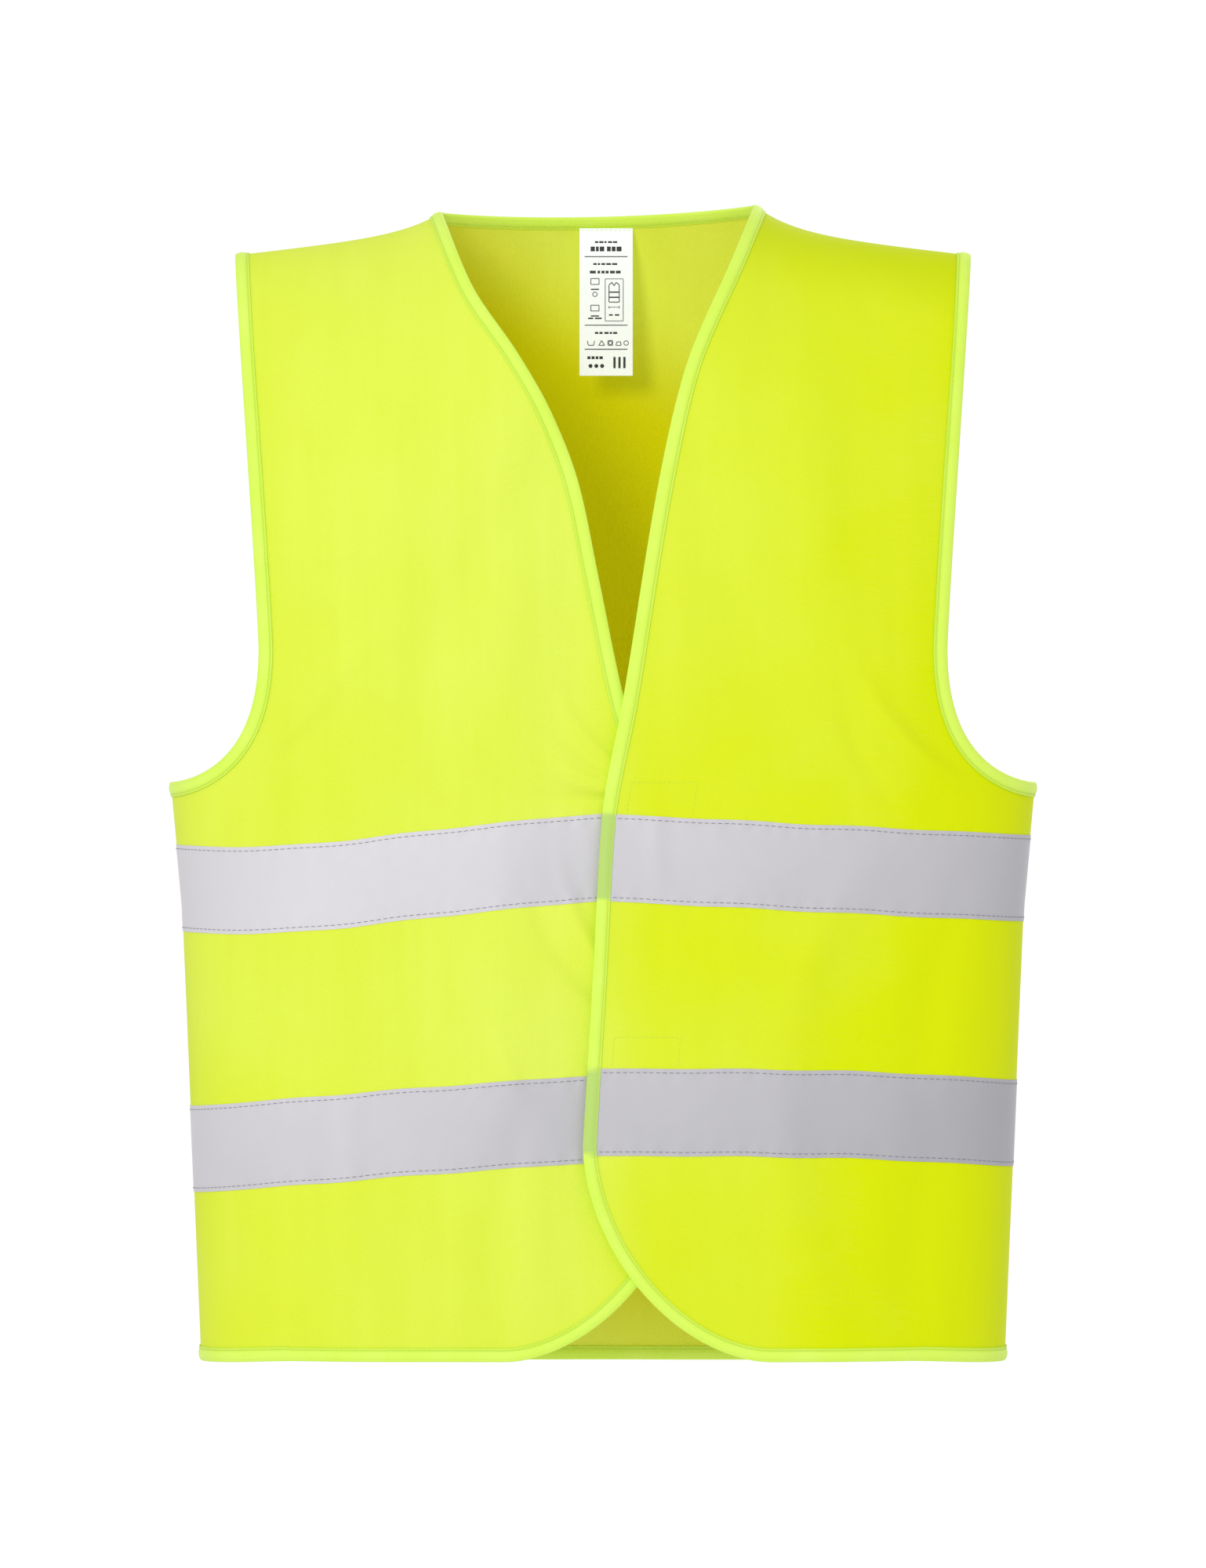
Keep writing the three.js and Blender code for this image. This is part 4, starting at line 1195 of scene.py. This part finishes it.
def sideSeam(face):
    h = np.linspace(seamSetup["hemInset"], underarm - seamSetup["hemInset"], 120)
    spine = np.stack([face["side"] * halfWidthAt(h), 0 * h, h - neckHeight], axis=-1)
    return seamPiece(face["hand"] + "SideSeam", spine, (-face["side"], 0, 0))


def shoulderSeam(face):
    start, inset = max(form[face["hand"] + "NeckX"], form["neckHalfWidth"]), seamSetup["inset"]
    x = face["side"] * np.linspace(start + inset, form["shoulderTipX"] - inset, 50)
    spine = np.stack([x, 0 * x, topLine(x) - neckHeight - 0.0008], axis=-1)
    return seamPiece(face["hand"] + "ShoulderSeam", spine, (0, 0, -1))


seamMakers = {"side": sideSeam, "shoulder": shoulderSeam}
seamPieces = {
    (kind, hand): make(faces[hand]) for kind, make in seamMakers.items() for hand in ("left", "right")
}

# ---------- label ----------
labelSetup = {
    "x": 0.0018,
    "y": 0.05179,
    "top": -0.0088,
    "width": 0.031,
    "length": 0.086,
    "thickness": 0.0003,
    "curl": 0.0016,
    "ripple": 0.0004,
    "stitch": (0.0026, 0.0019, 0.0003),
}


def labelPoint(u, v):
    x = labelSetup["x"] + (u - 0.5) * labelSetup["width"]
    z = labelSetup["top"] - v * labelSetup["length"]
    bend = labelSetup["curl"] * (v**2) * (0.6 + 0.8 * (u - 0.5) ** 2) + labelSetup["ripple"] * np.sin(v * 7)
    return np.stack([x, labelSetup["y"] - bend, z], axis=-1)


u, v = np.meshgrid(np.linspace(0, 1, 13), np.linspace(0, 1, 31))
labelPoints = labelPoint(u, v)
facing = np.broadcast_to(np.array([0.0, -1.0, 0.0]), labelPoints.shape)
labelMap = np.stack([u * labelSetup["width"], v * labelSetup["length"]], axis=-1)
sizeLabel = gridObject("sizeLabel", labelPoints, facing, labelMap)
thicken(sizeLabel, labelSetup["thickness"], "label")

# Printing: rules, rows of plain bars, and care and size signs from simple shapes, all in label millimetres
printSetup = {"lift": 0.00022, "spread": 0.75}
inked = {"verts": [], "faces": []}


def fill(corners):
    x, y = np.asarray(corners, float).T
    width, length = labelSetup["width"] * 1000, labelSetup["length"] * 1000
    placed = labelPoint(x / width, y / length) - np.array([0, printSetup["lift"], 0])
    if np.sum(x * np.roll(y, -1) - np.roll(x, -1) * y) <= 0:
        placed = placed[::-1]
    first = len(inked["verts"])
    inked["verts"] += [tuple(point) for point in placed]
    inked["faces"].append([first + i for i in range(len(placed))])


def stroke(width, points, closed=False):
    points = [*points, points[0]] if closed else points
    for (ax, ay), (bx, by) in zip(points[:-1], points[1:]):
        reach = width * printSetup["spread"] / max(1e-6, math.hypot(bx - ax, by - ay))
        sx, sy = -(by - ay) * reach, (bx - ax) * reach
        fill([(ax + sx, ay + sy), (bx + sx, by + sy), (bx - sx, by - sy), (ax - sx, ay - sy)])


def circle(cx, cy, radius, count=20):
    angles = np.linspace(0, 2 * math.pi, count, endpoint=False)
    return np.stack([cx + radius * np.cos(angles), cy + radius * np.sin(angles)], axis=-1)


def box(left, right, top, bottom):
    return [(left, top), (right, top), (right, bottom), (left, bottom)]


# Rows of bars: height, thickness, then where each bar starts and ends
barRows = [
    (8.0, 1.1, 9, 11, 11.5, 14, 14.5, 15.8, 16.6, 19, 19.5, 22),
    (12.0, 2.8, 6.5, 9, 9.6, 11.2, 11.8, 14.4, 16, 18.2, 18.8, 21, 21.6, 24.5),
    (20.8, 1.1, 8, 10, 10.6, 12, 12.7, 15, 15.6, 18.4, 19, 22),
    (25.5, 1.6, 6, 9.5, 10.5, 12, 12.8, 14.6, 15.2, 17, 17.8, 20.6, 21.2, 24),
    (37.2, 0.8, 17.2, 23.2),
    (40.2, 0.8, 17.2, 23.2),
    (50.5, 0.9, 17.2, 19.4, 20.6, 23.2),
    (52.5, 0.9, 5, 8, 9, 13),
    (61.0, 1.2, 9, 11, 11.6, 13.5, 14.5, 17, 17.6, 19, 19.6, 22),
    (75.5, 1.7, 4.6, 6.4, 7, 8.8, 9.4, 11, 11.6, 13.6),
]
for y, thickness, *ends in barRows:
    for left, right in zip(ends[::2], ends[1::2]):
        fill(box(left, right, y - thickness / 2, y + thickness / 2))
for y in (16.5, 56.5, 70.5):
    stroke(0.35, [(3, y), (28, y)])
for y in (31, 46.5):
    stroke(0.3, box(6.6, 11.4, y - 1.7, y + 1.7), True)
    stroke(0.5, [(6.6, y + 4.6), (11.4, y + 4.6)])
for x in (17.2, 23.2):
    stroke(0.25, [(x, 45.2), (x, 46.8)])
stroke(0.25, [(17.2, 46), (23.2, 46)])
stroke(0.25, box(15, 25.5, 29.5, 54), True)
jacket = [(17.2, 33), (19, 31.5), (20.2, 33.5), (21.4, 31.5), (23.2, 33), (23.2, 43), (17.2, 43)]
stroke(0.35, jacket, True)
stroke(0.3, [(4.6, 65.6), (5.2, 68.2), (8.2, 68.2), (8.8, 65.6)])
stroke(0.3, [(11.2, 68.2), (12.9, 65.4), (14.6, 68.2)], True)
stroke(0.3, box(16.6, 19.3, 65.5, 68.2), True)
stroke(0.3, [(21.2, 68.2), (21.8, 66.2), (24, 66.2), (24.3, 68.2)], True)
for width, x, y, radius in ((0.3, 9, 38.5, 1.3), (0.25, 17.95, 66.85, 1.0), (0.3, 27.2, 66.9, 1.3)):
    stroke(width, circle(x, y, radius), True)
for k in range(3):
    fill(circle(6.4 + k * 3.4, 80.3, 1.2, 12))
    stroke(0.9, [(20.4 + k * 2.9, 75), (20.4 + k * 2.9, 81.6)])
labelPrint = meshObject("labelPrint", inked["verts"], inked["faces"])
labelPrint.data.materials.append(materials["ink"])
labelRow = labelPoint(np.linspace(0.06, 0.94, 20), np.full(20, 0.012)) - np.array([0, 0.0003, 0])
labelRuns = [(labelRow, np.broadcast_to(np.array([0.0, -1.0, 0.0]), labelRow.shape))]
labelStitches = sewn("labelStitches", labelRuns, "limeThread", *labelSetup["stitch"])
print("label printed")

# ---------- riding on the frame's bodies, and hiding the frame parts that the pieces replace ---
foldSetup = {"hem": (0.150, -0.1021, -neckHeight), "top": (0.050, -0.1021, 0.574 - neckHeight)}
foldSetup["reach"] = 0.030


def bendWithFlap(piece, face):
    hemEnd, topEnd = (np.array([face["side"], 1, 1]) * foldSetup[end] for end in ("hem", "top"))
    inward = unit(np.cross(topEnd - hemEnd, [0, 1, 0])) * foldSetup["reach"]
    if inward[0] * face["side"] > 0:
        inward = -inward
    middle = (hemEnd + topEnd) / 2
    face["hand"] + "_flap"
    tuple(middle - inward)
    tuple(middle + inward)
    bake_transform(piece)


def tie(piece, slot, *nodes):
    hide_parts(*nodes)


panels = {"left": leftPanel, "right": rightPanel, "back": backPanel}
clothWith = {"left": [], "right": [], "back": [*bindings["hem"], *bindings["neck"]]}
for hand, patchKind in (("left", "loop"), ("right", "hook")):
    binding, bindingStitches, armhole, armholeStitches = bindings[hand]
    tie(panels[hand], "fluorescent_cloth", f"{hand}_front_panel", f"{hand}_front_flap")
    stretches = (f"{hand}_{place}_binding" for place in ("neckline", "front_edge", "hem"))
    tie(binding, "edge_binding", *stretches)
    tie(armhole, "edge_binding", f"{hand}_armhole_binding")
    flapPieces = [binding, bindingStitches]
    for name in ("upper", "lower"):
        tape, patch = tapePieces[(name, hand)], patchPieces[(name, patchKind)]
        tie(tape[0], "reflective_tape", f"{name}_tape_{hand}_side", f"{name}_tape_{hand}_flap")
        tie(patch[0], "hook_and_loop", f"{name}_{patchKind}_patch")
        flapPieces += [*tape, *patch]
    for piece in (panels[hand], *flapPieces):
        bendWithFlap(piece, faces[hand])
    clothWith[hand] = [*flapPieces, armhole, armholeStitches]
    still = [armhole, armholeStitches]
    for kind in seamMakers:
        seam, thread = seamPieces[(kind, hand)]
        tie(seam, "overlock_thread", f"{hand}_{kind}_seam")
        still += [seam, thread]
    for piece in still:
        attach(piece, "root")

for name in ("upper", "lower"):
    tie(tapePieces[(name, "back")][0], "reflective_tape", f"{name}_tape_back")
    clothWith["back"] += tapePieces[(name, "back")]
tie(backPanel, "fluorescent_cloth", "back_panel")
tie(bindings["hem"][0], "edge_binding", "back_hem_binding")
tie(bindings["neck"][0], "edge_binding", "back_neck_binding")
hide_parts("size_label")
for piece in (sizeLabel, labelPrint, labelStitches):
    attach(piece, "label")
for piece in (backPanel, *clothWith["back"]):
    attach(piece, "root")


def clothArea(grid, face):
    points, mask = pointOn(face, grid["x"], grid["h"]), grid["mask"]
    whole = mask[:-1, :-1] & mask[1:, 1:] & mask[:-1, 1:] & mask[1:, :-1]
    across = np.cross(points[:-1, 1:] - points[:-1, :-1], points[1:, :-1] - points[:-1, :-1])
    return float(np.sum(np.linalg.norm(across, axis=-1) * whole))


hangsFrom = {"left": ["leftShoulderSeam"], "right": ["rightShoulderSeam"]}
hangsFrom["back"] = hangsFrom["left"] + hangsFrom["right"]
for hand, panel in panels.items():
    area = clothArea(grids[hand], faces[hand])
    print("cloth", hand, "area", round(area, 4))
print("pieces tied to the frame")

# ---------- floor and light ----------
floorSetup = {"height": -1.15, "radius": 4.0}
rim = [(x, y, floorSetup["height"]) for x, y in circle(0, 0, floorSetup["radius"], 96)]
floor = meshObject("floor", rim, [list(range(len(rim)))])
floorSurface = {"Base Color": linear(238, 238, 238), "Roughness": 0.9}
floor.data.materials.append(surfaceOf("paleFloor", lambda wire, place: floorSurface))

lights = {
    "key": {"place": (-1.3, -4.2, 0.9), "size": 1.2, "power": 52.0},
    "rim": {"place": (1.2, 3.6, 1.6), "size": 2.0, "power": 24.0},
}
for name, light in lights.items():
    data = bpy.data.lights.new(name, "AREA")
    data.shape = "DISK"
    data.size = light["size"]
    data.energy = light["power"]
    lamp = bpy.data.objects.new(name, data)
    lamp.location = light["place"]
    aim = Vector((0, 0, -0.33)) - Vector(light["place"])
    lamp.rotation_euler = aim.to_track_quat("-Z", "Y").to_euler()
    scene.collection.objects.link(lamp)

studio = {"backdrop": 1.02, "fill": 0.75}
world = bpy.data.worlds.new("studio")
world.use_nodes = True
world.node_tree.nodes.clear()
sky = Wire(world.node_tree)
strength = sky.node("ShaderNodeLightPath") * (studio["backdrop"] - studio["fill"]) + studio["fill"]
glow = sky.node("ShaderNodeBackground", {}, {"Color": (1, 1, 1, 1), "Strength": strength})
sky.tree.links.new(glow.socket, sky.tree.nodes.new("ShaderNodeOutputWorld").inputs["Surface"])
scene.world = world
scene.view_settings.view_transform = "Standard"
print("studio lit")
